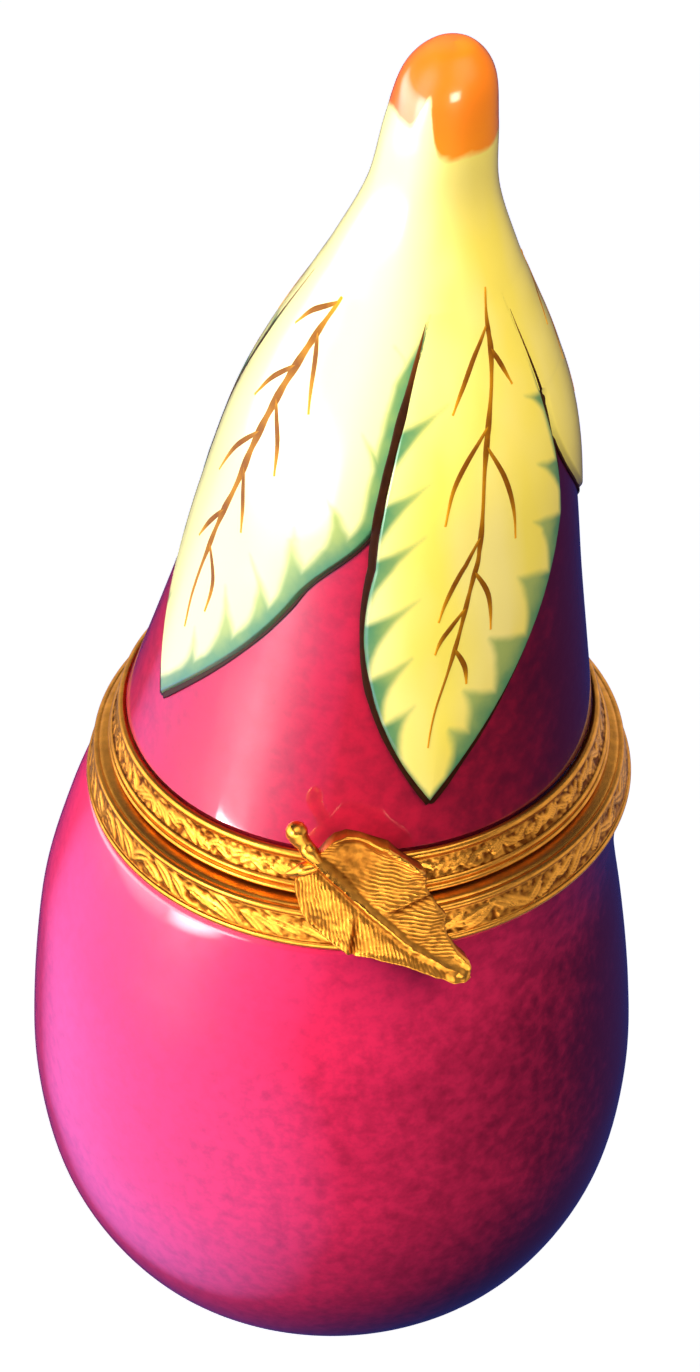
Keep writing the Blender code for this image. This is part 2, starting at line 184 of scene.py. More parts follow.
VEIN_SETS = {
    "front": (FRONT_VEINS, 1),
    "right": (LEFT_VEINS, -1),
    "back_right": (FRONT_VEINS, -1),
    "back_left": (LEFT_VEINS, 1),
    "left": (LEFT_VEINS, 1),
}

# Green points that run in from a sepal's edges: place of each point along it, and its depth in mm
GREEN_POINTS = {
    "front": ([(0.2, 2.5), (0.33, 2.7), (0.435, 2.8), (0.56, 3.1), (0.68, 2.8), (0.78, 2.3)],
              [(0.235, 1.5), (0.365, 2.2), (0.47, 3.2), (0.565, 3.6), (0.67, 3.7), (0.765, 3.3),
               (0.84, 2.5)]),
    "left": ([(0.45, 0.8), (0.57, 0.9), (0.7, 1.0), (0.82, 1.0)],
             [(0.11, 1.7), (0.27, 2.2), (0.38, 4.0), (0.475, 3.8), (0.575, 3.7), (0.67, 3.9), (0.8, 2.9)]),
    "right": ([],
              [(0.2, 1.5), (0.36, 2.2), (0.5, 2.8), (0.64, 2.8), (0.78, 2.0)]),
}
# Width of the green along a sepal's two sides in mm, how steeply a point's upper side falls to it, and
# how far its lower side runs down, in depths of the point
GREEN_BANDS = {"front": (0.35, 0.6), "left": (0.2, 1.2), "right": (0.5, 0.6)}
POINT_FALL = {"front": (1.8, 3.0), "left": (2.0, 1.15)}
POINT_RUN = 1.9

# Dark outline along a sepal's two sides: place, and its width inside and outside the edge in mm
BROAD_PEN = [(0.06, 0.0, 0.0), (0.1, 0.1, 0.09), (0.16, 0.19, 0.17), (0.24, 0.26, 0.24), (0.4, 0.29, 0.26),
             (0.52, 0.26, 0.23), (0.6, 0.17, 0.15), (0.66, 0.15, 0.13), (0.75, 0.26, 0.2), (0.82, 0.2, 0.15),
             (0.92, 0.16, 0.14), (1.0, 0.18, 0.18)]
FINE_PEN = [(0.08, 0.0, 0.0), (0.14, 0.07, 0.05), (0.3, 0.12, 0.09), (0.42, 0.14, 0.14), (0.56, 0.1, 0.08),
            (0.8, 0.12, 0.09), (0.9, 0.17, 0.14), (1.0, 0.18, 0.18)]
PENS = {
    "front": (BROAD_PEN, FINE_PEN),
    "right": (FINE_PEN, BROAD_PEN),
    "back_right": (BROAD_PEN, FINE_PEN),
    "back_left": (FINE_PEN, BROAD_PEN),
    "left": (FINE_PEN, FINE_PEN),
}

# Leaf clasp: outline beside its midrib, as distance along and across
LEAF_BASE = Vector((-4.4, 3.9))
LEAF_ANGLE = math.radians(-39.9)
LEAF_UPPER = [(0.0, 1.5), (0.08, 2.15), (0.55, 2.9), (1.3, 3.37), (2.4, 3.8), (3.2, 4.13), (4.0, 4.06),
              (4.9, 4.12), (5.8, 4.2), (6.3, 4.05), (6.7, 3.65), (6.95, 3.2), (7.65, 2.9), (8.4, 2.6),
              (9.1, 2.42), (9.35, 1.85), (9.9, 1.37), (10.9, 0.95), (11.8, 0.75), (12.2, 0.45), (12.35, 0.1)]
LEAF_LOWER = [(0.0, 1.2), (0.15, 1.6), (0.7, 2.15), (1.8, 2.8), (3.0, 3.25), (4.1, 3.05), (5.3, 2.92),
              (5.85, 2.98), (6.25, 2.45), (6.6, 2.15), (7.5, 1.75), (8.5, 1.4), (9.5, 1.2), (10.65, 1.05),
              (11.65, 0.75), (12.2, 0.4), (12.35, 0.1)]
LEAF_THICKNESS = 0.6
LEAF_FACE = 17.85
LEAF_SLOPE = 0.30
RIB_LINE = [(0.0, 0.36), (2.4, 0.32), (4.6, 0.15), (6.7, -0.05), (8.6, -0.27), (10.7, -0.18), (12.35, 0.0)]

# Hinge at the back, with its axis in the seam plane
HINGE_Y = 19.3
KNUCKLE_RADIUS = 1.4
BORE_RADIUS = 0.85
PIN_RADIUS = 0.55
LID_KNUCKLE_HALF = 2.0
HINGE_HALF = 5.7
FIT_GAP = 0.3

# Point the lights look at, in metres
LIT_MIDDLE = (0.002, 0.0, 0.05)

# Cards that only the glaze mirrors, softer at their edges: size, place, power in W and colour
GLOSS_CARDS = {
    "wide_card": ((1.0, 0.22), (-90, 0, 0.44), 5.0, "#FFFFFF"),
    "core_card": ((0.24, 0.18), (-58, 2, 0.44), 1.3, "#FFFFFF"),
    "haze_card": ((1.2, 0.6), (-75, -40, 0.42), 5.0, "#D2C4FF"),
    "lid_haze_card": ((0.5, 0.3), (-66, -13, 0.42), 0.25, "#F4E6FF"),
    "bowl_lamp": ((0.07, 0.022), (-63, -11, 0.17), 0.1, "#FFFFFF"),
    "lid_lamp": ((0.045, 0.007), (-60, -14, 0.17), 0.16, "#FFFFFF"),
    "lid_tip_lamp": ((0.03, 0.024), (14, 40, 0.081), 0.05, "#FFFAF0"),
}

# Soft boxes that only the brass mirrors: size in metres, (azimuth, elevation, distance), power in W
BRASS_CARDS = {
    "brass_left": ((0.9, 0.5), (-85, 5, 0.5), 4.2),
    "brass_core": ((0.16, 0.12), (-55, 12, 0.4), 1.2),
    "brass_front": ((0.9, 0.3), (0, -27, 0.5), 1.9),
    "brass_spark": ((0.5, 0.06), (-5, -4, 0.4), 0.8),
    "brass_right": ((0.9, 0.6), (95, 0, 0.5), 1.4),
    "brass_back": ((1.0, 0.6), (180, 10, 0.5), 1.6),
    "brass_top": ((0.5, 0.3), (10, 62, 0.5), 1.6),
    "brass_below": ((1.0, 1.0), (180, -75, 0.5), 1.2),
}

# Painted light and shade: the angles from the front where magenta and yellow are lightest, how much darker
# the lid and the foot are, and how much lighter the bowl is below its rim. The magenta's light and dark sides
# are partly two-tone paint
LIGHT_SIDE = math.radians(-50.0)
PALE_SIDE = math.radians(-62.0)
LID_DARKER = 0.1
FOOT_SHADE = 1.0
FOOT_SHADE_TOP = 20.0
RIM_LIGHTER = 0.3
RIM_LIGHTER_START = 29.0
RIM_LIGHTER_RUN = 9.0
YELLOW_START = 74.5

# Lower line of the orange paint on the stem's end, as angle from the front and height
TIP_LINE = [(-180, 90.6), (-120, 91.2), (-70, 91.4), (-46, 91.2), (-20, 90.0), (-9, 89.6), (57, 89.5),
            (110, 90.1), (180, 90.6)]

# Enamel strokes: points round one, how far it stands proud and its least half width in mm, and how
# much of the step below an outline it fills
STROKE_SIDES = 12
STROKE_HEIGHT = 0.03
HAIRLINE = 0.003
OUTLINE_FILL = 0.85

# Strength of the dim blue room
ROOM_STRENGTH = 0.34

# Camera: distance, angles and scale worked out from the rims' ellipses in the photo
PHOTO_HEIGHT = 1372
PIXELS_PER_MM = 15.7
CAMERA_DISTANCE = 300.0
CAMERA_AZIMUTH = math.radians(-4.0)
CAMERA_ELEVATION = math.radians(40.2)
AIM_HEIGHT = 47.44
AIM_OFFSET = -0.57
SENSOR = 36.0


def to_linear(code):
    """Turn an sRGB hex colour into linear red, green, blue and alpha."""
    parts = [int(code[start:start + 2], 16) / 255 for start in (1, 3, 5)]
    return [part / 12.92 if part <= 0.04045 else ((part + 0.055) / 1.055) ** 2.4
            for part in parts] + [1.0]


def lean(height):
    """Sideways shift of the body's middle at a height in millimetres."""
    if height <= LEAN_START:
        return 0.0
    if height < RIM_BOTTOM:
        rise = (height - LEAN_START) / (RIM_BOTTOM - LEAN_START)
        return RIM_SHIFT * rise ** 3
    if height <= RIM_TOP:
        return RIM_SHIFT
    rise = (height - RIM_TOP) / (TIP_HEIGHT - RIM_TOP)
    bow = (1.0 + LEAN_EASING) * rise - LEAN_EASING * rise ** 2
    return RIM_SHIFT + LID_LEAN * bow + TIP_HOOK * rise ** 8


def smooth_through(points, steps):
    """Round a line through its points, with a few steps between two of them."""
    ends = [points[0]] + list(points) + [points[-1]]
    line = []
    for before, start, end, after in zip(ends, ends[1:], ends[2:], ends[3:]):
        for step in range(steps):
            t = step / steps
            line.append(tuple(
                0.5 * (2 * b + (c - a) * t + (2 * a - 5 * b + 4 * c - d) * t ** 2
                       + (3 * b - a - 3 * c + d) * t ** 3)
                for a, b, c, d in zip(before, start, end, after)))
    line.append(tuple(points[-1]))
    return line


def between(points, place):
    """Read a line of pairs at a place on its first value."""
    return float(np.interp(place, [point[0] for point in points], [point[1] for point in points]))


def clamp(value, low=0.0, high=1.0):
    """Keep a value between two limits."""
    return max(low, min(high, value))


def ease(share):
    """Ease a share from 0 to 1, with no kink at either end."""
    share = np.clip(share, 0.0, 1.0)
    return share * share * (3 - 2 * share)


def add_node(tree, kind, inputs=None, **settings):
    """Add a shader node with its settings, and link or set its inputs."""
    node = tree.nodes.new(kind)
    for name, value in settings.items():
        setattr(node, name, value)
    for name, value in (inputs or {}).items():
        if isinstance(value, bpy.types.NodeSocket):
            tree.links.new(value, node.inputs[name])
        else:
            node.inputs[name].default_value = value
    return node


def new_material(name):
    """A material with an empty node tree and its output."""
    material = bpy.data.materials.new(name)
    material.use_nodes = True
    tree = material.node_tree
    tree.nodes.clear()
    return material, tree


def loft(name, rings, finishes, closed=False, fields=None, finish_of=None):
    """Skin closed rings of points, in millimetres, into one smooth solid.

    Rings at the ends that shrink to a point close the solid, and closed=True joins the last ring
    to the first. fields are named numbers for each point, and finish_of picks a finish by ring.
    """
    count = len(rings[0])
    vertices = [tuple(value * MM for value in point) for ring in rings for point in ring]
    faces = []
    finish_index = []
    last = len(rings) if closed else len(rings) - 1
    for row in range(last):
        low, high = row * count, (row + 1) % len(rings) * count
        for column in range(count):
            after = (column + 1) % count
            faces.append((low + column, low + after, high + after, high + column))
            finish_index.append(finish_of(row) if finish_of else 0)
    mesh = bpy.data.meshes.new(name)
    mesh.from_pydata(vertices, [], faces)
    mesh.polygons.foreach_set("material_index", finish_index)
    for label, values in (fields or {}).items():
        layer = mesh.attributes.new(label, "FLOAT", "POINT")
        layer.data.foreach_set("value", np.asarray(values, dtype=np.float32).ravel())
    for finish in finishes:
        mesh.materials.append(finish)
    item = bpy.data.objects.new(name, mesh)
    bpy.context.scene.collection.objects.link(item)
    tidy_mesh(mesh)
    return item


def tidy_mesh(mesh):
    """Close the poles, face the mesh outwards and shade it smooth."""
    shape = bmesh.new()
    shape.from_mesh(mesh)
    bmesh.ops.remove_doubles(shape, verts=shape.verts[:], dist=0.0000004)
    open_edges = [edge for edge in shape.edges if edge.is_boundary]
    if open_edges:
        bmesh.ops.holes_fill(shape, edges=open_edges)
    bmesh.ops.recalc_face_normals(shape, faces=shape.faces[:])
    shape.to_mesh(mesh)
    shape.free()
    mesh.shade_smooth()
    mesh.set_sharp_from_angle(angle=math.radians(50))


def circle(radius, height, count):
    """A level ring of points about the leaning middle of the body."""
    angles = np.arange(count) / count * math.tau
    return np.stack([lean(height) + radius * np.sin(angles), -radius * np.cos(angles),
                     np.full(count, height)], axis=1).tolist()


def place_piece(item, body, slot, *nodes):
    """Let a piece ride on a body and stand for nodes; its slot is not used."""
    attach(item, body)
    if nodes:
        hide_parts(*nodes)


def glaze_shader(tree, colour, rough, bump):
    """Clear glaze over paint: a satin colour under a wet-looking coat that hides no brushwork."""
    shader = add_node(tree, "ShaderNodeBsdfPrincipled", {
        "Base Color": colour, "Roughness": rough, "Normal": bump, "Specular IOR Level": 0.35,
        "Coat Weight": 1.0, "Coat Roughness": 0.035, "Coat IOR": 1.5})
    add_node(tree, "ShaderNodeOutputMaterial", {"Surface": shader.outputs[0]})
    return shader


def glaze_bump(tree, position):
    """Slow swells of hand-dipped glaze about 6 mm across, with faint orange peel of 0.7 mm."""
    swell = add_node(tree, "ShaderNodeTexNoise", {"Vector": position, "Scale": 160.0, "Detail": 1.0})
    peel = add_node(tree, "ShaderNodeTexNoise", {"Vector": position, "Scale": 1400.0, "Detail": 2.0})
    first = add_node(tree, "ShaderNodeBump", {
        "Height": swell.outputs[0], "Strength": 0.25, "Distance": 0.0004})
    second = add_node(tree, "ShaderNodeBump", {
        "Height": peel.outputs[0], "Strength": 0.12, "Distance": 0.00005, "Normal": first.outputs[0]})
    return second.outputs[0]


class TRINKET_GlazeSettings(bpy.types.PropertyGroup):
    """Colours of the painted porcelain."""
    # Magenta and crimson are the lit tones, plum and oxblood the shaded tones: partly two-tone paint, partly
    # painted shade
    magenta: bpy.props.FloatVectorProperty(
        name="Magenta", description="Paint of the bowl", subtype="COLOR", size=4, min=0, max=1,
        default=to_linear("#EB2A56"))
    crimson: bpy.props.FloatVectorProperty(
        name="Crimson", description="Warmer paint of the lid", subtype="COLOR", size=4,
        min=0, max=1, default=to_linear("#C41A34"))
    plum: bpy.props.FloatVectorProperty(
        name="Deep plum", description="Darker paint round the right side and the back",
        subtype="COLOR", size=4, min=0, max=1, default=to_linear("#4B0614"))
    oxblood: bpy.props.FloatVectorProperty(
        name="Oxblood", description="Darker paint of the lid", subtype="COLOR", size=4,
        min=0, max=1, default=to_linear("#480814"))
    yellow: bpy.props.FloatVectorProperty(
        name="Leaf yellow", description="Ground of the sepals", subtype="COLOR", size=4,
        min=0, max=1, default=to_linear("#FAE65C"))
    cream: bpy.props.FloatVectorProperty(
        name="Leaf cream", description="Pale washes on the sepals", subtype="COLOR", size=4,
        min=0, max=1, default=to_linear("#FBEA84"))
    # Painted highlight: the yellow turned pale on the left of the neck and sepals, where the light falls
    # strongest
    pale: bpy.props.FloatVectorProperty(
        name="Pale wash", description="Washed-out left side of the neck and sepals", subtype="COLOR",
        size=4, min=0, max=1, default=to_linear("#FAF3A6"))
    green: bpy.props.FloatVectorProperty(
        name="Leaf green", description="Toothed edge of the sepals", subtype="COLOR", size=4,
        min=0, max=1, default=to_linear("#A3B45C"))
    dark_green: bpy.props.FloatVectorProperty(
        name="Dark green", description="Outer line of the toothed edge", subtype="COLOR", size=4,
        min=0, max=1, default=to_linear("#4A8656"))
    ink: bpy.props.FloatVectorProperty(
        name="Outline", description="Dark line round the sepals", subtype="COLOR", size=4,
        min=0, max=1, default=to_linear("#241004"))
    vein: bpy.props.FloatVectorProperty(
        name="Vein brown", description="Painted veins", subtype="COLOR", size=4, min=0, max=1,
        default=to_linear("#6A3404"))
    dry_vein: bpy.props.FloatVectorProperty(
        name="Vein gold", description="Ends of the veins, where the brush ran dry", subtype="COLOR",
        size=4, min=0, max=1, default=to_linear("#E09A10"))
    orange: bpy.props.FloatVectorProperty(
        name="Stem orange", description="Lit side of the stem's end", subtype="COLOR", size=4,
        min=0, max=1, default=to_linear("#F2700E"))
    amber: bpy.props.FloatVectorProperty(
        name="Stem amber", description="Shaded side of the stem's end", subtype="COLOR", size=4,
        min=0, max=1, default=to_linear("#FC900E"))
    inside: bpy.props.FloatVectorProperty(
        name="Inside white", description="Plain glaze inside the box", subtype="COLOR", size=4,
        min=0, max=1, default=to_linear("#F2EFE8"))
    biscuit: bpy.props.FloatVectorProperty(
        name="Foot", description="Bare porcelain of the foot", subtype="COLOR", size=4, min=0, max=1,
        default=to_linear("#E6DFD2"))


class TRINKET_BrassSettings(bpy.types.PropertyGroup):
    """Colours and sizes of the brass mounts."""
    gilt: bpy.props.FloatVectorProperty(
        name="Gilt brass", description="Rubbed high spots", subtype="COLOR", size=4, min=0, max=1,
        default=to_linear("#F4A63C"))
    patina: bpy.props.FloatVectorProperty(
        name="Patina", description="Dark brown in the hollows", subtype="COLOR", size=4, min=0,
        max=1, default=to_linear("#6E380C"))
    relief: bpy.props.FloatProperty(
        name="Chasing depth", description="Height of the chased leaves", subtype="DISTANCE",
        unit="LENGTH", default=0.16 * MM, min=0.0)
    line_pitch: bpy.props.FloatProperty(
        name="Leaf line pitch", description="Distance between the fine lines on the clasp",
        subtype="DISTANCE", unit="LENGTH", default=0.23 * MM, min=0.0001)


class TRINKET_StageSettings(bpy.types.PropertyGroup):
    """Light and floor of the studio."""
    key_power: bpy.props.FloatProperty(
        name="Key light", description="Large soft box high on the left", subtype="POWER", unit="POWER",
        default=9.0, min=0.0)
    back_power: bpy.props.FloatProperty(
        name="Back light", description="Soft light behind the box", subtype="POWER", unit="POWER",
        default=2.4, min=0.0)
    fill_power: bpy.props.FloatProperty(
        name="Fill light", description="Soft light high on the right", subtype="POWER", unit="POWER",
        default=2.8, min=0.0)
    gloss_power: bpy.props.FloatProperty(
        name="Reflections", description="Strength of the cards that only the glaze mirrors",
        default=1.0, min=0.0)
    floor: bpy.props.FloatVectorProperty(
        name="Floor", description="White floor", subtype="COLOR", size=4, min=0, max=1,
        default=to_linear("#FFFFFF"))
    night: bpy.props.FloatVectorProperty(
        name="Room", description="Dim blue room that the glaze reflects", subtype="COLOR", size=4,
        min=0, max=1, default=to_linear("#3A4AA0"))


def magenta_glaze(glaze):
    """Overglaze magenta on porcelain: cloudy brushed paint under a clear glossy glaze, its lit and shaded
    tones mixed by painted light and shade.
    """
    material, tree = new_material("magenta_painted_porcelain")
    place = add_node(tree, "ShaderNodeTexCoord").outputs["Object"]
    cloud = add_node(tree, "ShaderNodeTexNoise", {"Vector": place, "Scale": 220.0, "Detail": 3.0})
    mottle = add_node(tree, "ShaderNodeTexNoise", {
        "Vector": place, "Scale": 1100.0, "Detail": 3.0, "Roughness": 0.6})
    height = add_node(tree, "ShaderNodeSeparateXYZ", {0: place}).outputs[2]
    lid_part = add_node(tree, "ShaderNodeMapRange", {
        0: height, 1: 0.042, 2: 0.047, 3: 0.0, 4: 1.0})
    bright = add_node(tree, "ShaderNodeMix", {
        "Factor": lid_part.outputs[0], "A": glaze.magenta, "B": glaze.crimson}, data_type="RGBA")
    deep = add_node(tree, "ShaderNodeMix", {
        "Factor": lid_part.outputs[0], "A": glaze.plum, "B": glaze.oxblood}, data_type="RGBA")
    # Painted light and shade: lighter towards the front left, darker on the far side and at the foot, broken
    # up by clouds and specks
    painted_light = add_node(tree, "ShaderNodeAttribute", attribute_name="painted_light")
    clouds = add_node(tree, "ShaderNodeMath", {
        0: cloud.outputs[0], 1: -0.35, 2: painted_light.outputs["Fac"]}, operation="MULTIPLY_ADD")
    specks = add_node(tree, "ShaderNodeMath", {
        0: mottle.outputs[0], 1: -0.65, 2: clouds.outputs[0]}, operation="MULTIPLY_ADD")
    depth = add_node(tree, "ShaderNodeMapRange", {
        0: specks.outputs[0], 1: -0.93, 2: 0.56, 3: 1.0, 4: 0.0}, interpolation_type="SMOOTHSTEP")
    grain = add_node(tree, "ShaderNodeMapRange", {0: mottle.outputs[0], 1: 0.4, 2: 0.72, 3: 0.0, 4: 0.2})
    speckled = add_node(tree, "ShaderNodeMix", {
        "Factor": grain.outputs[0], "A": bright.outputs[2], "B": deep.outputs[2]}, data_type="RGBA")
    mottled = add_node(tree, "ShaderNodeMix", {
        "Factor": depth.outputs[0], "A": speckled.outputs[2], "B": deep.outputs[2]}, data_type="RGBA")
    rough = add_node(tree, "ShaderNodeMapRange", {0: mottle.outputs[0], 3: 0.3, 4: 0.45})
    body = add_node(tree, "ShaderNodeAttribute", attribute_name="calyx_mm")
    calyx = calyx_colour(tree, glaze, place)
    top = add_node(tree, "ShaderNodeMapRange", {0: body.outputs["Fac"], 1: -0.3, 2: 0.3})
    colour = add_node(tree, "ShaderNodeMix", {
        "Factor": top.outputs[0], "A": mottled.outputs[2], "B": calyx}, data_type="RGBA")
    shader = glaze_shader(tree, colour.outputs[2], rough.outputs[0], glaze_bump(tree, place))
    shader.inputs["Sheen Weight"].default_value = 0.15
    shader.inputs["Sheen Roughness"].default_value = 0.25
    shader.inputs["Sheen Tint"].default_value = to_linear("#5A64D8")
    return material


def calyx_colour(tree, glaze, place):
    """Yellow wash of the sepals and the neck, turned pale on the left by a painted highlight, and the orange
    end of the stem.
    """
    streak = add_node(tree, "ShaderNodeMapping", {"Vector": place, "Scale": (1.0, 1.0, 0.3)})
    wash = add_node(tree, "ShaderNodeTexNoise", {
        "Vector": streak.outputs[0], "Scale": 230.0, "Detail": 2.0})
    pale = add_node(tree, "ShaderNodeMapRange", {0: wash.outputs[0], 1: 0.35, 2: 0.7})
    yellow = add_node(tree, "ShaderNodeMix", {
        "Factor": pale.outputs[0], "A": glaze.yellow, "B": glaze.cream}, data_type="RGBA")
    # Painted highlight: pale yellow on the left of the neck and sepals
    painted_highlight = add_node(tree, "ShaderNodeAttribute", attribute_name="pale")
    ground = add_node(tree, "ShaderNodeMix", {
        "Factor": painted_highlight.outputs["Fac"], "A": yellow.outputs[2], "B": glaze.pale}, data_type="RGBA")
    tip = add_node(tree, "ShaderNodeAttribute", attribute_name="tip_mm")
    brush = add_node(tree, "ShaderNodeTexNoise", {"Vector": place, "Scale": 700.0, "Detail": 2.0})
    ragged = add_node(tree, "ShaderNodeMath", {
        0: brush.outputs[0], 1: 0.9, 2: tip.outputs["Fac"]}, operation="MULTIPLY_ADD")
    stem = add_node(tree, "ShaderNodeMapRange", {0: ragged.outputs[0], 1: 0.3, 2: 0.75})
    amber = add_node(tree, "ShaderNodeAttribute", attribute_name="tip_amber")
    orange = add_node(tree, "ShaderNodeMix", {
        "Factor": amber.outputs["Fac"], "A": glaze.orange, "B": glaze.amber}, data_type="RGBA")
    colour = add_node(tree, "ShaderNodeMix", {
        "Factor": stem.outputs[0], "A": ground.outputs[2], "B": orange.outputs[2]}, data_type="RGBA")
    return colour.outputs[2]


def leaf_glaze(glaze):
    """Painted sepal: yellow wash and a green toothed edge, brushed wet, under clear glaze."""
    material, tree = new_material("painted_sepal_porcelain")
    place = add_node(tree, "ShaderNodeTexCoord").outputs["Object"]
    ground = calyx_colour(tree, glaze, place)
    patchy = add_node(tree, "ShaderNodeTexNoise", {"Vector": place, "Scale": 700.0, "Detail": 3.0})
    green = add_node(tree, "ShaderNodeAttribute", attribute_name="green_mm")
    feather = add_node(tree, "ShaderNodeMath", {
        0: patchy.outputs[0], 1: 0.3, 2: green.outputs["Fac"]}, operation="MULTIPLY_ADD")
    edge = add_node(tree, "ShaderNodeMapRange", {
        0: feather.outputs[0], 1: -0.12, 2: 0.48}, interpolation_type="SMOOTHSTEP")
    inward = add_node(tree, "ShaderNodeAttribute", attribute_name="edge_mm")
    depth = add_node(tree, "ShaderNodeMath", {
        0: patchy.outputs[0], 1: 1.3, 2: inward.outputs["Fac"]}, operation="MULTIPLY_ADD")
    lighter = add_node(tree, "ShaderNodeMapRange", {
        0: depth.outputs[0], 1: 0.6, 2: 2.9}, interpolation_type="SMOOTHSTEP")
    leaf_green = add_node(tree, "ShaderNodeMix", {
        "Factor": lighter.outputs[0], "A": glaze.dark_green, "B": glaze.green}, data_type="RGBA")
    colour = add_node(tree, "ShaderNodeMix", {
        "Factor": edge.outputs[0], "A": ground, "B": leaf_green.outputs[2]}, data_type="RGBA")
    rough = add_node(tree, "ShaderNodeMapRange", {0: patchy.outputs[0], 3: 0.3, 4: 0.42})
    glaze_shader(tree, colour.outputs[2], rough.outputs[0], glaze_bump(tree, place))
    return material


def enamel(name, wet, dried):
    """Enamel line fired on top of the glaze: duller than it, and paler where the brush ran dry."""
    material, tree = new_material(name)
    place = add_node(tree, "ShaderNodeTexCoord").outputs["Object"]
    dry = add_node(tree, "ShaderNodeAttribute", attribute_name="dry")
    patchy = add_node(tree, "ShaderNodeTexNoise", {"Vector": place, "Scale": 2000.0, "Detail": 2.0})
    mixed = add_node(tree, "ShaderNodeMath", {
        0: patchy.outputs[0], 1: 0.25, 2: dry.outputs["Fac"]}, operation="MULTIPLY_ADD")
    colour = add_node(tree, "ShaderNodeMix", {
        "Factor": mixed.outputs[0], "A": wet, "B": dried}, data_type="RGBA")
    rough = add_node(tree, "ShaderNodeMapRange", {0: patchy.outputs[0], 3: 0.45, 4: 0.6})
    bump = add_node(tree, "ShaderNodeBump", {
        "Height": patchy.outputs[0], "Strength": 0.3, "Distance": 0.00003})
    shader = add_node(tree, "ShaderNodeBsdfPrincipled", {
        "Base Color": colour.outputs[2], "Roughness": rough.outputs[0], "Normal": bump.outputs[0],
        "Specular IOR Level": 0.2})
    add_node(tree, "ShaderNodeOutputMaterial", {"Surface": shader.outputs[0]})
    return material


def white_glaze(glaze):
    """Plain white glaze of the inside, with a few iron specks of 0.2 mm."""
    material, tree = new_material("white_glazed_porcelain")
    place = add_node(tree, "ShaderNodeTexCoord").outputs["Object"]
    speck = add_node(tree, "ShaderNodeTexVoronoi", {"Vector": place, "Scale": 220.0})
    dot = add_node(tree, "ShaderNodeMapRange", {0: speck.outputs[0], 1: 0.03, 2: 0.05, 3: 0.35, 4: 0.0})
    colour = add_node(tree, "ShaderNodeMix", {
        "Factor": dot.outputs[0], "A": glaze.inside, "B": to_linear("#8A7A62")}, data_type="RGBA")
    rough = add_node(tree, "ShaderNodeMapRange", {0: speck.outputs[0], 3: 0.28, 4: 0.36})
    glaze_shader(tree, colour.outputs[2], rough.outputs[0], glaze_bump(tree, place))
    return material


def biscuit(glaze):
    """Unglazed porcelain of the foot: matt, fine-grained, and rubbed grey where it stands."""
    material, tree = new_material("bare_biscuit_porcelain")
    place = add_node(tree, "ShaderNodeTexCoord").outputs["Object"]
    grain = add_node(tree, "ShaderNodeTexNoise", {"Vector": place, "Scale": 3000.0, "Detail": 3.0})
    rubbed = add_node(tree, "ShaderNodeTexNoise", {"Vector": place, "Scale": 300.0, "Detail": 2.0})
    grey = add_node(tree, "ShaderNodeMapRange", {0: rubbed.outputs[0], 1: 0.45, 2: 0.7, 3: 0.0, 4: 0.4})
    colour = add_node(tree, "ShaderNodeMix", {
        "Factor": grey.outputs[0], "A": glaze.biscuit, "B": to_linear("#B9B0A2")}, data_type="RGBA")
    bump = add_node(tree, "ShaderNodeBump", {
        "Height": grain.outputs[0], "Strength": 0.4, "Distance": 0.00003})
    shader = add_node(tree, "ShaderNodeBsdfPrincipled", {
        "Base Color": colour.outputs[2], "Roughness": 0.75, "Normal": bump.outputs[0]})
    add_node(tree, "ShaderNodeOutputMaterial", {"Surface": shader.outputs[0]})
    return material


def gilt_brass(brass, name, hollow_range):
    """Gilt cast brass: rubbed bright on the high spots, brown patina held in the hollows."""
    material, tree = new_material(name)
    place = add_node(tree, "ShaderNodeTexCoord").outputs["Object"]
    hollow = add_node(tree, "ShaderNodeAttribute", attribute_name="hollow")
    stain = add_node(tree, "ShaderNodeTexNoise", {
        "Vector": place, "Scale": 900.0, "Detail": 4.0, "Roughness": 0.65})
    dirt = add_node(tree, "ShaderNodeMath", {
        0: stain.outputs[0], 1: 0.9, 2: hollow.outputs["Fac"]}, operation="MULTIPLY_ADD")
    dark = add_node(tree, "ShaderNodeMapRange", {
        0: dirt.outputs[0], 1: hollow_range[0], 2: hollow_range[1]})
    colour = add_node(tree, "ShaderNodeMix", {
        "Factor": dark.outputs[0], "A": brass.gilt, "B": brass.patina}, data_type="RGBA")
    rough = add_node(tree, "ShaderNodeMapRange", {0: dirt.outputs[0], 1: 0.2, 2: 1.4, 3: 0.2, 4: 0.5})
    pits = add_node(tree, "ShaderNodeTexNoise", {
        "Vector": place, "Scale": 3500.0, "Detail": 3.0, "Roughness": 0.7})
    bump = add_node(tree, "ShaderNodeBump", {
        "Height": pits.outputs[0], "Strength": 0.35, "Distance": 0.00004})
    shader = add_node(tree, "ShaderNodeBsdfPrincipled", {
        "Base Color": colour.outputs[2], "Roughness": rough.outputs[0], "Metallic": 1.0,
        "Normal": bump.outputs[0]})
    add_node(tree, "ShaderNodeOutputMaterial", {"Surface": shader.outputs[0]})
    return material


FINISHES = {}


def finish(name):
    """Look up a material, and make it on its first use."""
    if name not in FINISHES:
        scene = bpy.context.scene
        glaze, brass = scene.trinket_glaze, scene.trinket_brass
        FINISHES[name] = {
            "magenta": lambda: magenta_glaze(glaze),
            "leaf": lambda: leaf_glaze(glaze),
            "vein": lambda: enamel("brown_enamel_veins", glaze.vein, glaze.dry_vein),
            "outline": lambda: enamel("dark_enamel_outline", glaze.ink, glaze.vein),
            "white": lambda: white_glaze(glaze),
            "biscuit": lambda: biscuit(glaze),
            "rim": lambda: gilt_brass(brass, "chased_gilt_brass", (0.55, 1.35)),
            "clasp": lambda: gilt_brass(brass, "cast_gilt_brass", (0.6, 1.5)),
            "plain": lambda: gilt_brass(brass, "plain_gilt_brass", (0.45, 1.2)),
        }[name]()
    return FINISHES[name]


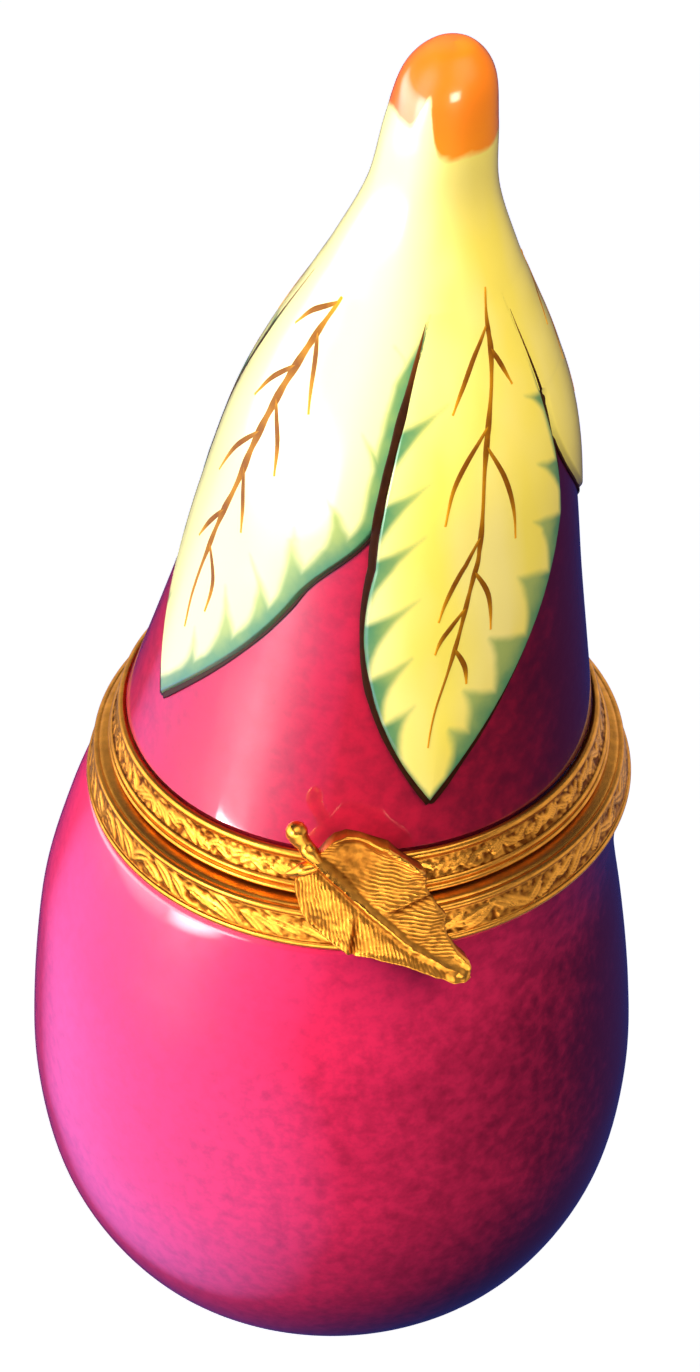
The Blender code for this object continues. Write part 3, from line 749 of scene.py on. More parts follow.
def add_bowl():
    """Fat end of the eggplant, hollow and glazed white inside, with a bare foot."""
    count = 240
    outside = smooth_through(BOWL_OUTSIDE, 9)
    inside = smooth_through(BOWL_INSIDE, 6)
    foot = [(0.0, 0.0), (FOOT_RADIUS * 0.5, 0.0), (FOOT_RADIUS - 0.15, 0.0), (FOOT_RADIUS, 0.05),
            (10.4, 0.3)]
    profile = foot + outside + BOWL_NECK + inside
    first_inside = len(foot) + len(outside) + len(BOWL_NECK) - 1
    rings = [circle(radius, height, count) for radius, height in profile]
    below_calyx = np.full((len(profile), count), -20.0)
    heights = np.array([height for _, height in profile])[:, None]
    # Painted light and shade, with the bowl painted lighter below its rim
    light = painted_light(
        profile, count, -RIM_LIGHTER * ease((heights - RIM_LIGHTER_START) / RIM_LIGHTER_RUN))
    return loft("bowl", rings, [finish("magenta"), finish("white"), finish("biscuit")],
                fields={"calyx_mm": below_calyx, "painted_light": light},
                finish_of=lambda row: 2 if row < 3 else (1 if row >= first_inside else 0))


def painted_light(profile, count, darker):
    """Painted light and shade on the magenta: lighter towards the front left, with painted shade on the far
    side and near the foot there.
    """
    toward = np.cos(np.arange(count) / count * math.tau - LIGHT_SIDE)[None, :]
    heights = np.array([height for _, height in profile])[:, None]
    # Painted shade near the foot, strongest on the far side
    foot = FOOT_SHADE * (1.0 - ease(heights / FOOT_SHADE_TOP)) * (1.0 - toward)
    return toward - foot - darker


def lid_line():
    """The lid's rounded outside, as height and radius."""
    return [(height, max(radius, 0.0)) for radius, height in smooth_through(LID_OUTSIDE, 10)]


def lid_radius(heights):
    """The lid's outer radius at some heights."""
    return np.interp(heights, *zip(*lid_line()))


def tip_paint(height, angle):
    """Millimetres above the orange paint's wavy lower line, and the share of amber in it there."""
    degrees = (math.degrees(angle) + 180) % 360 - 180
    # Painted highlight: the yellow reaches up into the orange in a narrow streak on the front left
    streak = 2.7 * math.exp(-((degrees + 26) / 11) ** 2)
    above = height - (between(TIP_LINE, degrees) + streak)
    amber = 0.45 + 0.5 * math.cos(math.radians(degrees - 80)) + 0.14 * (92.0 - height)
    return above, clamp(amber)


def pale_painted_highlight(angles):
    """Painted highlight: how far the yellow turns pale on the left of the neck and its sepals, where the
    light falls strongest.
    """
    return ease((np.cos(angles - PALE_SIDE) - 0.35) / 0.5)


def add_lid():
    """Thin end of the eggplant: the hollow painted lid under its sepals."""
    outside = [(radius, height) for height, radius in lid_line()]
    inside = smooth_through(LID_INSIDE, 5)
    profile = inside + LID_NECK + outside
    first_outside = len(inside) - 1
    count = 240
    rings = [circle(radius, height, count) for radius, height in profile]
    calyx = [[height - YELLOW_START] * count for _, height in profile]
    paint = [[tip_paint(height, math.tau * index / count) for index in range(count)]
             for _, height in profile]
    # Painted light and shade on the magenta, a little darker on the lid, and a painted highlight on the
    # yellow's left side
    return loft("lid", rings, [finish("magenta"), finish("white")],
                fields={"calyx_mm": calyx, "painted_light": painted_light(profile, count, LID_DARKER),
                        "pale": [pale_painted_highlight(np.arange(count) / count * math.tau)] * len(profile),
                        "tip_mm": [[pair[0] for pair in row] for row in paint],
                        "tip_amber": [[pair[1] for pair in row] for row in paint]},
                finish_of=lambda row: 1 if row < first_outside else 0)


def half_share(along):
    """Share of a sepal's full half width at a place from its root to its tip."""
    if along < SEPAL_WIDEST:
        return 1.0 - SEPAL_NECK_LOSS * ((SEPAL_WIDEST - along) / SEPAL_WIDEST) ** 2
    taper = (along - SEPAL_WIDEST) / (1.0 - SEPAL_WIDEST)
    return max(math.cos(math.pi / 2 * taper), 0.002)


def own_edge(name, side, height):
    """Place along a sepal at a height, its middle and half width there, and its edge, in degrees."""
    middle, half_width, bend, tip_height, _ = SEPALS[name]
    along = min(1.0, (CALYX_HEIGHT - height) / (CALYX_HEIGHT - tip_height))
    middle += bend * math.sin(math.pi / 2 * max(0.0, 2 * along - 1))
    half = half_width * half_share(along)
    return along, middle, half, middle + side * half


def edge_angle(name, side, height, radius):
    """Angle of a sepal's edge, where some sides spread out to touch a neighbour."""
    along, middle, half, angle = own_edge(name, side, height)
    if (name, side) not in SPREAD_SIDES:
        return angle
    neighbour, wider = SPREAD_SIDES[(name, side)]
    spread = wider * float(ease((SHOULDER_START - along) / SHOULDER_RUN))
    spread += NECK_SPREAD * float(ease((NECK_SPREAD_START - along) / NECK_SPREAD_RUN))
    gap = (own_edge(neighbour, -side, height)[3] - middle + 180.0) % 360.0 - 180.0
    reach = abs(gap) + math.degrees(SIDE_OVERLAP / radius)
    return middle + side * min(half * (1.0 + spread), reach)


def sepal_shape(name):
    """A sepal's edges and the lid's radius, height by height from the root to the tip."""
    tip_height = SEPALS[name][3]
    heights = np.linspace(CALYX_HEIGHT, tip_height, 241)
    radii = lid_radius(heights)
    sides = []
    for side in (-1, 1):
        edge = np.radians([edge_angle(name, side, height, radius)
                           for height, radius in zip(heights, radii)])
        slope = np.gradient(edge, heights) * radii
        sides.append((edge, radii / np.sqrt(1.0 + slope ** 2)))
    return {"name": name, "heights": heights, "sides": sides, "length": CALYX_HEIGHT - tip_height}


def edge_distances(shape, heights, angles):
    """Distances in millimetres to a sepal's low and high edges."""
    middle = math.radians(SEPALS[shape["name"]][0])
    angles = (angles - middle + math.pi) % math.tau - math.pi + middle
    found = []
    for side, (edge, scale) in zip((1, -1), shape["sides"]):
        at_edge = np.interp(-heights, -shape["heights"], edge)
        at_scale = np.interp(-heights, -shape["heights"], scale)
        found.append(side * (angles - at_edge) * at_scale)
    return found


def sepal_rise(shape, heights, angles):
    """How far a sepal's face stands proud of the lid, with a moulded step at its edges."""
    near = np.minimum(*edge_distances(shape, heights, angles))
    crown = 1.0 - (1.0 - np.clip(near / SEPAL_CROWN, 0.0, 1.0)) ** 2
    profile = STEP_SHARE * ease(near / SEPAL_STEP) + (1.0 - STEP_SHARE) * crown
    below_root = CALYX_HEIGHT - heights
    grown = ease((below_root - SEPAL_FADE_START) / SEPAL_FADE)
    edge = SEPAL_SINK * (1.0 - np.clip(near / SEPAL_SINK_WIDTH, 0.0, 1.0))
    root = ROOT_SINK * (1.0 - ease(below_root / ROOT_SINK_RUN))
    return SEPAL_RISE - edge - root + SEPALS[shape["name"]][4] * grown * profile


def on_lid(heights, angles, rise):
    """Points at a rise above the lid's surface."""
    radii = lid_radius(heights) + rise
    shift = np.vectorize(lean)(heights)
    return np.stack([shift + radii * np.sin(angles), -radii * np.cos(angles), heights], axis=-1)


def calyx_rise(shapes, heights, angles):
    """How far whichever lies highest there, the lid or a sepal, stands proud of the lid."""
    rise = np.zeros_like(heights)
    for shape in shapes.values():
        inside = (heights > shape["heights"][-1]) & (np.minimum(*edge_distances(shape, heights, angles)) > 0)
        rise = np.where(inside, np.maximum(rise, sepal_rise(shape, heights, angles)), rise)
    return rise


def toothed_edge(points, band_mm, fall, along_mm, near, length):
    """How far inside the green a place is: a band along the edge, with points up into the yellow."""
    if not points:
        return np.full_like(near, -9.0)
    band = band_mm * np.clip((along_mm - points[0][0] * length + 2.0) / 4.0, 0.0, 1.0)
    field = band - near
    for share, depth in points:
        past = along_mm - share * length
        rest = np.clip(1.0 - past / (POINT_RUN * (depth - band_mm)), 0.0, 1.0)
        lower = band + (depth - band) * rest ** 1.6
        upper = (near - depth + fall * past) / math.hypot(1.0, fall)
        field = np.maximum(field, np.minimum(np.minimum(lower - near, upper), past + 0.05))
    return field


def add_sepal(name, shape):
    """One raised and painted leaf of the calyx."""
    rows, columns, under = 250, 130, 6
    along = np.linspace(0.0, 1.0, rows + 1) ** 0.94
    heights = CALYX_HEIGHT - shape["length"] * along
    low, high = [np.interp(-heights, -shape["heights"], edge) for edge, _ in shape["sides"]]
    across = np.sin(np.linspace(-math.pi / 2, math.pi / 2, columns + 1))
    angles = low[:, None] + (high - low)[:, None] * (across + 1) / 2
    level = np.repeat(heights[:, None], columns + 1, axis=1)
    top = on_lid(level, angles, sepal_rise(shape, level, angles))
    back = low[:, None] + (high - low)[:, None] * np.linspace(0.98, 0.02, under)
    root = on_lid(np.repeat(heights[:, None], under, axis=1), back, -SEPAL_ROOT)
    rings = np.concatenate([top, root], axis=1)
    along_mm = along[:, None] * shape["length"]
    near = edge_distances(shape, level, angles)
    points = GREEN_POINTS.get(name, GREEN_POINTS["front"])
    bands = GREEN_BANDS.get(name, GREEN_BANDS["front"])
    falls = POINT_FALL.get(name, POINT_FALL["front"])
    teeth = [toothed_edge(side_points, band, fall, along_mm, distance, shape["length"])
             for side_points, band, fall, distance in zip(points, bands, falls, near)]
    tip = [tip_paint(height, math.radians(SEPALS[name][0])) for height in heights]
    hidden = np.ones((rows + 1, under))
    # The pale field is a painted highlight on the left of the yellow
    fields = {
        "green_mm": np.concatenate([np.maximum(*teeth), hidden], axis=1),
        "edge_mm": np.concatenate([np.minimum(*near), hidden], axis=1),
        "pale": np.concatenate([pale_painted_highlight(angles), hidden], axis=1),
        "tip_mm": np.repeat([[above] for above, _ in tip], columns + 1 + under, axis=1),
        "tip_amber": np.repeat([[amber] for _, amber in tip], columns + 1 + under, axis=1),
    }
    return loft(f"sepal_{name}", rings.tolist(), [finish("leaf")], fields=fields)


def add_veins(name, shapes):
    """The painted veins of a sepal: dark where they fork, and gold where the brush ran dry."""
    veins, mirror = VEIN_SETS[name]
    length = shapes[name]["length"]
    forks = np.array([vein[0][0] for vein in veins])
    pieces = []
    for index, vein in enumerate(veins):
        path = np.array(smooth_through(vein, 8))
        share = np.linspace(0.0, 1.0, len(path))
        if index == 0:
            at_fork = np.exp(-(np.min(np.abs(path[:, :1] - forks), axis=1) / 0.03) ** 2)
            width = MIDRIB_WIDTH.get(name, 0.25) * (0.6 + 0.4 * at_fork) * np.minimum(1.0, 0.3 + 4.0 * share)
            width *= 1.0 - 0.6 * share ** 3
            dry = np.maximum(0.45 * (1.0 - at_fork), np.clip(1.0 - share * 8.0, 0.0, 1.0))
            dry = np.maximum(dry * (1.0 - 0.5 * share), share ** 9)
        else:
            swell = np.sin(math.pi * np.minimum(share * 1.15, 1.0))
            width = VEIN_WIDTH.get(name, 0.16) * (0.45 + 0.55 * swell)
            dry = np.maximum(0.5 - 2.2 * share, np.clip(2.1 * share - 1.1, 0.0, 1.0))
        heights = CALYX_HEIGHT - length * path[:, 0]
        own = [own_edge(name, 1, height) for height in heights]
        angles = np.radians([middle + mirror * across * half
                             for (_, middle, half, _), across in zip(own, path[:, 1])])
        pieces.append(add_stroke(f"vein_{name}_{index}", shapes, heights, angles, width, width,
                                 np.clip(dry, 0.0, 1.0), "vein"))
    return pieces


def add_stroke(name, shapes, heights, angles, left_width, right_width, dry, label, fill=0.0):
    """A thin stroke of enamel along a path, with a width to either side; fill levels what it spans."""
    radii = lid_radius(heights)
    run = np.stack([np.gradient(angles) * radii, np.gradient(heights)], axis=1)
    run /= np.linalg.norm(run, axis=1)[:, None] + 1e-9
    turns = np.linspace(0.0, math.tau, STROKE_SIDES, endpoint=False)
    spots = []
    for turn in turns:
        reach = math.cos(turn)
        beside = reach * (right_width if reach > 0 else left_width)
        spots.append((heights + run[:, 0] * beside, angles - run[:, 1] * beside / radii))
    rises = np.array([calyx_rise(shapes, *spot) for spot in spots])
    level = rises.max(axis=0) * fill
    rings = []
    for turn, spot, rise in zip(turns, spots, rises):
        up = math.sin(turn)
        lift = STROKE_HEIGHT * up * (1.0 if up > 0 else 2.5)
        rings.append(on_lid(*spot, (np.maximum(rise, level) if up > 0.1 else rise) + lift))
    return loft(name, np.stack(rings, axis=1).tolist(), [finish(label)],
                fields={"dry": np.repeat(dry[:, None], STROKE_SIDES, axis=1)})


def add_outlines(name, shapes):
    """The dark lines down a sepal's two sides, where no neighbour lies over them."""
    shape = shapes[name]
    pieces = []
    for index, side in enumerate((-1, 1)):
        along = np.linspace(PENS[name][index][0][0], 1.0, 150)
        heights = CALYX_HEIGHT - shape["length"] * along
        angles = np.interp(-heights, -shape["heights"], shape["sides"][index][0])
        inner, outer = [np.interp(along, [spot[0] for spot in PENS[name][index]],
                                  [spot[column] for spot in PENS[name][index]]) for column in (1, 2)]
        waver = np.array([1.0 + 0.3 * noise.noise(Vector((place * 16.0, len(name), side)))
                          for place in along])
        dry = np.clip(1.2 - (along - along[0]) * 9.0, 0.0, 1.0)
        first = 0
        if (name, side) in SPREAD_SIDES:
            neighbour = shapes[SPREAD_SIDES[(name, side)][0]]
            clear = -np.minimum(*edge_distances(neighbour, heights, angles))
            waver *= np.clip(clear / 0.2, 0.0, 1.0)
            dry[:] = 0.0
            first = int(np.argmax(clear > 0.0))
        left, right = (outer, inner) if side < 0 else (inner, outer)
        pieces.append(add_stroke(
            f"outline_{name}_{index}", shapes, heights[first:], angles[first:],
            (left * waver + HAIRLINE)[first:], (right * waver + HAIRLINE)[first:], dry[first:],
            "outline", fill=OUTLINE_FILL))
    return pieces


def join(items, name):
    """Join pieces into one object."""
    bpy.ops.object.select_all(action="DESELECT")
    for item in items:
        item.select_set(True)
    bpy.context.view_layer.objects.active = items[0]
    bpy.ops.object.join()
    items[0].name = name
    return items[0]


def chased_leaves(across_mm, along_mm, band_mm, pitch, length, width, tilt, seed):
    """Relief from 0 to 1 of slanted leaves chased round a band, meeting at the front and back."""
    draw = random.Random(seed)
    height = np.zeros_like(across_mm)
    reach = np.max(np.abs(across_mm))
    count = int(reach / pitch) + 1
    for side in (-1, 1):
        for index in range(count):
            centre = side * (index + 0.5) * pitch + draw.uniform(-0.25, 0.25) * pitch
            level = band_mm * draw.uniform(0.36, 0.64)
            angle = -side * math.radians(tilt + draw.uniform(-12, 12)) * (1 if draw.random() < 0.8 else -0.8)
            long_half = length / 2 * draw.uniform(0.8, 1.15)
            wide_half = width / 2 * draw.uniform(0.8, 1.2)
            du = across_mm - centre
            dv = along_mm - level
            p = (du * math.cos(angle) + dv * math.sin(angle)) / long_half
            q = (-du * math.sin(angle) + dv * math.cos(angle)) / wide_half
            body = np.clip(1 - p * p, 0.0, 1.0)
            q = q + 0.5 * p * p * side
            inside = np.clip(1 - (q / np.maximum(body, 0.01)) ** 2, 0.0, 1.0) * (body > 0.01)
            leaf = np.sqrt(inside) * (1 - 0.55 * np.exp(-(q / 0.16) ** 2))
            height = np.maximum(height, leaf)
    pecks = [[noise.noise(Vector((u * 2.6, v * 3.2, seed))) for u, v in zip(row, line)]
             for row, line in zip(across_mm, along_mm)]
    return np.maximum(height, np.clip(0.3 + 0.8 * np.array(pecks), 0.0, 0.6))


def add_rim(name, outside, hidden, band, leaf_sizes, seed):
    """A turned brass rim with beads and a band of chased leaves."""
    count = 900
    relief = bpy.context.scene.trinket_brass.relief / MM
    visible = []
    for stretch in outside:
        visible += smooth_through(stretch, 4)[:-1]
    visible.append(outside[-1][-1])
    high, low = band
    profile = []
    for start, end in zip(visible, visible[1:]):
        inside_band = low <= (start[1] + end[1]) / 2 <= high
        steps = 2 if inside_band else 1
        for step in range(steps):
            share = step / steps
            profile.append(tuple(a + (b - a) * share for a, b in zip(start, end)))
    profile.append(visible[-1])
    profile += hidden
    heights = np.array([point[1] for point in profile])
    angles = np.arange(count) / count * math.tau
    signed = (angles + math.pi) % math.tau - math.pi
    across, rise = np.meshgrid(signed * CHASING_RADIUS, heights)
    along_mm = high - rise
    band_mm = high - low
    leaves = chased_leaves(across, along_mm, band_mm, *leaf_sizes, seed)
    edge = np.clip(np.minimum(along_mm, band_mm - along_mm) / 0.14, 0.0, 1.0)
    is_outside = (np.arange(len(profile)) < len(profile) - len(hidden))[:, None]
    edge = edge * is_outside
    push = (leaves * relief - relief * 0.35) * edge
    hollow = np.where(edge > 0, 1.0 - leaves, 0.25)
    rings = []
    for row, (reach, rise_mm) in enumerate(profile):
        reaches = reach + push[row]
        ring = np.stack([RIM_SHIFT + reaches * np.sin(angles), -reaches * np.cos(angles),
                         np.full(count, SEAM_HEIGHT + rise_mm)], axis=1)
        rings.append([tuple(point) for point in ring])
    return loft(name, rings, [finish("rim")], closed=True, fields={"hollow": hollow})


def on_clasp(along, across, depth):
    """A point of the clasp, from its place beside the midrib and its depth behind the face."""
    flat = LEAF_BASE + Matrix.Rotation(LEAF_ANGLE, 2) @ Vector((along, across))
    radius = LEAF_FACE - LEAF_SLOPE * flat.y - depth
    angle = flat.x / LEAF_FACE
    return (RIM_SHIFT + radius * math.sin(angle), -radius * math.cos(angle), SEAM_HEIGHT + flat.y)


def leaf_surface(along, across, edge_mm, pitch):
    """Height of the clasp's face, and how deep in a hollow it lies, at a place on the leaf."""
    part = along / LEAF_UPPER[-1][0]
    off = across - between(RIB_LINE, along)
    upper = off > 0
    beside = clamp(abs(off) / 3.2)
    bowl_share = math.exp(-((along - 2.0) / 1.55) ** 4 - ((across - 2.0) / 1.4) ** 4)
    if upper:
        body = 0.5 - 0.25 * beside - 0.42 * bowl_share
        lip = 0.46 * math.exp(-(edge_mm / 0.5) ** 2) * clamp((7.0 - along) / 1.5)
        fold_at = (along - 5.6) - 0.65 * off
    else:
        body = 0.5 + 0.22 * math.sin(math.pi * beside) - 0.25 * beside ** 2
        lip = 0.16 * math.exp(-(edge_mm / 0.25) ** 2)
        fold_at = (along - 3.9) + 0.7 * off
    fold = math.exp(-(fold_at / 0.2) ** 2) * clamp(beside * 4 - 0.5)
    ridge = math.exp(-((fold_at + 0.42) / 0.26) ** 2) * clamp(beside * 4 - 0.5)
    ruffle = 0.12 * math.sin(math.tau * (along / 2.6 + (0.1 if upper else 0.45))) * beside ** 2
    rib = math.exp(-(off / 0.19) ** 2) * clamp(1.12 - part)
    gutter = math.exp(-((abs(off) - 0.4) / 0.16) ** 2) * clamp(1.1 - part)
    slant = 0.5 * along - 0.87 * off if upper else 0.64 * along + 0.77 * off
    waver = 0.35 * noise.noise(Vector((along * 0.9, across * 0.9, 4.0)))
    lines = math.sin(math.tau * (slant + waver * pitch * 1.5) / pitch)
    shown = clamp(abs(off) * 2.2 - 0.5) * (1.0 - bowl_share) * clamp(edge_mm * 5.0)
    shown *= 0.75 + 0.5 * noise.noise(Vector((along * 1.7, across * 1.7, 9.0)))
    curl = float(ease((along - 9.6) / 1.6)) * (1.0 if upper else float(ease((along - 11.0) / 0.6)))
    shown *= 1.0 - curl
    knob = 0.3 * curl * clamp((12.6 - along) / 0.5)
    dents = 0.05 * noise.noise(Vector((along * 2.4, across * 2.4, 1.0)))
    height = (body + lip - 0.2 * fold + 0.1 * ridge + ruffle + 0.3 * rib - 0.08 * gutter
              + 0.03 * lines * shown + knob + dents)
    hollow = (0.5 - 0.4 * lines * shown - 0.6 * rib + 0.35 * gutter + 0.5 * fold + 0.3 * bowl_share
              - 0.8 * lip - knob)
    return height, clamp(hollow, 0.0, 1.4)


def add_clasp():
    """Cast brass leaf with ribbed face, curled edge, stalk and thorn."""
    pitch = bpy.context.scene.trinket_brass.line_pitch / MM
    length = LEAF_UPPER[-1][0]
    rows, columns, under = 250, 168, 10
    rings = []
    hollows = []
    for row in range(rows + 1):
        along = length * row / rows
        widths = {1: between(LEAF_UPPER, along), -1: between(LEAF_LOWER, along)}
        ring = []
        hollow_row = []
        for column in range(columns + 1):
            share = math.sin(math.pi / 2 * (2 * column / columns - 1))
            half_width = widths[1 if share > 0 else -1]
            edge_mm = (1 - abs(share)) * half_width
            height, hollow = leaf_surface(along, share * half_width, edge_mm, pitch)
            drop = 0.2 * (1 - math.sqrt(1 - clamp(1 - edge_mm / 0.18) ** 2))
            ring.append(on_clasp(along, share * half_width, drop - height))
            hollow_row.append(hollow)
        for column in range(under + 1):
            share = 1 - 2 * column / under
            across = share * widths[1 if share > 0 else -1]
            ring.append(on_clasp(along, across * 0.99, LEAF_THICKNESS - 0.45 + 0.1 * abs(share)))
            hollow_row.append(1.0)
        rings.append(ring)
        hollows.append(hollow_row)
    leaf = loft("leaf_blade", rings, [finish("clasp")], fields={"hollow": hollows})
    stalk_path = [(0.9, 0.3, 0.35), (0.2, 0.33, 0.1), (-0.4, 0.42, 0.05), (-1.0, 0.5, 0.1),
                  (-1.55, 0.62, 0.0), (-1.95, 0.8, -0.05)]
    stalk = add_twig("stalk", stalk_path, [0.2, 0.42, 0.56, 0.5, 0.6, 0.7])
    thorn_path = [(0.45, -0.1, 0.2), (0.05, -0.6, 0.0), (-0.15, -1.15, 0.05), (-0.4, -1.7, 0.15)]
    thorn = add_twig("thorn", thorn_path, [0.4, 0.46, 0.34, 0.16])
    foot = add_twig("clasp_foot", [(2.6, -0.2, 2.3), (2.6, -0.2, 1.5)], [0.9, 0.9])
    return join([leaf, stalk, thorn, foot], "leaf_clasp_finished")


def add_twig(name, path, radii):
    """A round cast twig along a path of places on the clasp, with blunt ends."""
    spots = [Vector(on_clasp(along, across, depth - 0.42)) for along, across, depth in path]
    spots = [Vector(spot) for spot in smooth_through([tuple(spot) for spot in spots], 6)]
    thick = smooth_through([(index, radius) for index, radius in enumerate(radii)], 6)
    thick = [radius for _, radius in thick]
    rings = []
    for index, spot in enumerate(spots):
        ahead = spots[min(index + 1, len(spots) - 1)] - spots[max(index - 1, 0)]
        side = ahead.cross(Vector((0, 1, 0))).normalized()
        over = side.cross(ahead).normalized()
        rings.append((spot, side, over, thick[index], ahead.normalized()))
    first, last = rings[0], rings[-1]
    solid = []
    for share in (0.05, 0.5, 0.85):
        spot, side, over, radius, ahead = first
        out = math.sqrt(1 - share ** 2)
        solid.append(ring_about(spot - ahead * radius * out, side, over, radius * share))
    for spot, side, over, radius, _ in rings:
        solid.append(ring_about(spot, side, over, radius))
    for share in (0.85, 0.5, 0.05):
        spot, side, over, radius, ahead = last
        out = math.sqrt(1 - share ** 2)
        solid.append(ring_about(spot + ahead * radius * out, side, over, radius * share))
    hollow = [[0.2 + 0.35 * noise.noise(Vector(point) * 2.5) for point in ring] for ring in solid]
    return loft(name, solid, [finish("clasp")], fields={"hollow": hollow})


def ring_about(spot, side, over, radius, count=20):
    """A ring of points about a spot."""
    return [tuple(spot + side * radius * math.cos(math.tau * index / count)
                  + over * radius * math.sin(math.tau * index / count)) for index in range(count)]


def turned_bar(name, profile, closed=False, count=48):
    """Turn a profile of place and radius about the hinge's axis."""
    rings = []
    for place, radius in profile:
        rings.append([(RIM_SHIFT + place, HINGE_Y + radius * math.cos(math.tau * index / count),
                       SEAM_HEIGHT + radius * math.sin(math.tau * index / count)) for index in range(count)])
    hollow = [[0.25] * count for _ in rings]
    return loft(name, rings, [finish("plain")], closed=closed, fields={"hollow": hollow})


def barrel(name, start, end):
    """One hinge knuckle, a short tube with softened edges."""
    soft = 0.18
    outer, inner = KNUCKLE_RADIUS, BORE_RADIUS
    profile = [(start, inner), (start, outer - soft), (start + soft * 0.3, outer - soft * 0.3),
               (start + soft, outer), (end - soft, outer), (end - soft * 0.3, outer - soft * 0.3),
               (end, outer - soft), (end, inner)]
    return turned_bar(f"barrel_{name}", profile, closed=True)


def strap(name, low, high, half_span, radius, reach):
    """A plate bent round the back of a rim, thick enough to carry its knuckles."""
    steps = 40
    rings = []
    soft = 0.2
    for index in range(steps + 1):
        share = 2 * index / steps - 1
        x = share * half_span
        front = math.sqrt(radius ** 2 - x ** 2)
        squeeze = math.sqrt(1 - clamp((abs(share) - 0.94) / 0.06) ** 2)
        bottom = low + soft * (1 - squeeze)
        top = high - soft * (1 - squeeze)
        back = reach - soft * (1 - squeeze)
        corners = [(front, bottom), (back - soft, bottom), (back, bottom + soft), (back, top - soft),
                   (back - soft, top), (front, top)]
        rings.append([(RIM_SHIFT + x, y, SEAM_HEIGHT + z) for y, z in corners])
    hollow = [[0.3] * 6 for _ in rings]
    return loft(name, rings, [finish("plain")], fields={"hollow": hollow})


def add_hinge():
    """Three-knuckle hinge with straps round the rims and a headed pin."""
    inner = LID_KNUCKLE_HALF + FIT_GAP
    base = [barrel("left", -HINGE_HALF, -inner), barrel("right", inner, HINGE_HALF),
            strap("base_strap", -2.6, -1.75, HINGE_HALF, 17.5, HINGE_Y),
            strap("base_web", -1.9, -0.75, HINGE_HALF, 17.2, HINGE_Y - KNUCKLE_RADIUS * 0.7)]
    lid = [barrel("middle", -LID_KNUCKLE_HALF, LID_KNUCKLE_HALF),
           strap("lid_strap", 0.5, 2.5, LID_KNUCKLE_HALF, 15.9, HINGE_Y - 1.1)]
    end = HINGE_HALF + FIT_GAP
    pin = turned_bar("hinge_pin_finished", [
        (-end - 0.55, 0.0), (-end - 0.5, 0.5), (-end - 0.25, 0.85), (-end, 0.95), (-end, PIN_RADIUS),
        (end, PIN_RADIUS), (end, 0.95), (end + 0.25, 0.85), (end + 0.5, 0.5), (end + 0.55, 0.0)])
    return join(base, "base_hinge_finished"), join(lid, "lid_hinge_finished"), pin


class TRINKET_OT_bowl(bpy.types.Operator):
    """Build the painted bowl"""
    bl_idname = "trinket.bowl"
    bl_label = "Painted bowl"

    def execute(self, context):
        place_piece(add_bowl(), "base", "glazed_purple_porcelain", "base_bowl")
        return {"FINISHED"}


class TRINKET_OT_lid(bpy.types.Operator):
    """Build the painted lid with its sepals and veins"""
    bl_idname = "trinket.lid"
    bl_label = "Painted lid"

    def execute(self, context):
        place_piece(add_lid(), "lid", "glazed_purple_porcelain", "lid_shell")
        shapes = {name: sepal_shape(name) for name in SEPALS}
        for name, shape in shapes.items():
            place_piece(add_sepal(name, shape), "lid", "glazed_purple_porcelain", "lid_shell")
            veins = join(add_veins(name, shapes), f"veins_{name}")
            place_piece(veins, "lid", "glazed_purple_porcelain", "lid_shell")
            outline = join(add_outlines(name, shapes), f"outline_{name}")
            place_piece(outline, "lid", "glazed_purple_porcelain", "lid_shell")
        return {"FINISHED"}


class TRINKET_OT_rims(bpy.types.Operator):
    """Build the two chased brass rims"""
    bl_idname = "trinket.rims"
    bl_label = "Chased rims"

    def execute(self, context):
        lid_rim = add_rim("lid_rim_chased", LID_RIM_OUTSIDE, LID_RIM_HIDDEN, LID_RIM_BAND,
                          (0.64, 1.5, 0.5, 30), 5)
        place_piece(lid_rim, "lid", "gilt_brass", "lid_rim")
        base_rim = add_rim("base_rim_chased", BASE_RIM_OUTSIDE, BASE_RIM_HIDDEN, BASE_RIM_BAND,
                           (1.2, 2.6, 0.75, 28), 11)
        place_piece(base_rim, "base", "gilt_brass", "base_rim")
        return {"FINISHED"}


class TRINKET_OT_clasp(bpy.types.Operator):
    """Build the leaf clasp and finish the stud behind it"""
    bl_idname = "trinket.clasp"
    bl_label = "Leaf clasp"

    def execute(self, context):
        place_piece(add_clasp(), "lid", "gilt_brass", "leaf_clasp")
        stud = frame["nodes"]["catch_stud"]
        stud.data.materials.clear()
        stud.data.materials.append(finish("plain"))
        return {"FINISHED"}


class TRINKET_OT_hinge(bpy.types.Operator):
    """Build the hinge's straps, knuckles and pin"""
    bl_idname = "trinket.hinge"
    bl_label = "Hinge"

    def execute(self, context):
        base, lid, pin = add_hinge()
        place_piece(base, "base", "gilt_brass", "base_hinge_plate")
        place_piece(lid, "lid", "gilt_brass", "lid_hinge_plate")
        place_piece(pin, "base", "gilt_brass", "hinge_pin")
        return {"FINISHED"}


def aim(item, spot, target):
    """Put an object at a spot and turn its -Z axis to a target, both in metres."""
    item.location = spot
    item.rotation_euler = (Vector(target) - Vector(spot)).to_track_quat("-Z", "Y").to_euler()


def pieces_with(scene, words, name=None):
    """A collection of the pieces whose first material has one of the words, for lights to pick."""
    chosen = bpy.data.collections.new("lit_" + "_".join(words))
    for item in scene.objects:
        if item.type != "MESH" or not item.data.materials or not item.data.materials[0]:
            continue
        if name in (None, item.name) and any(word in item.data.materials[0].name for word in words):
            chosen.objects.link(item)
    return chosen


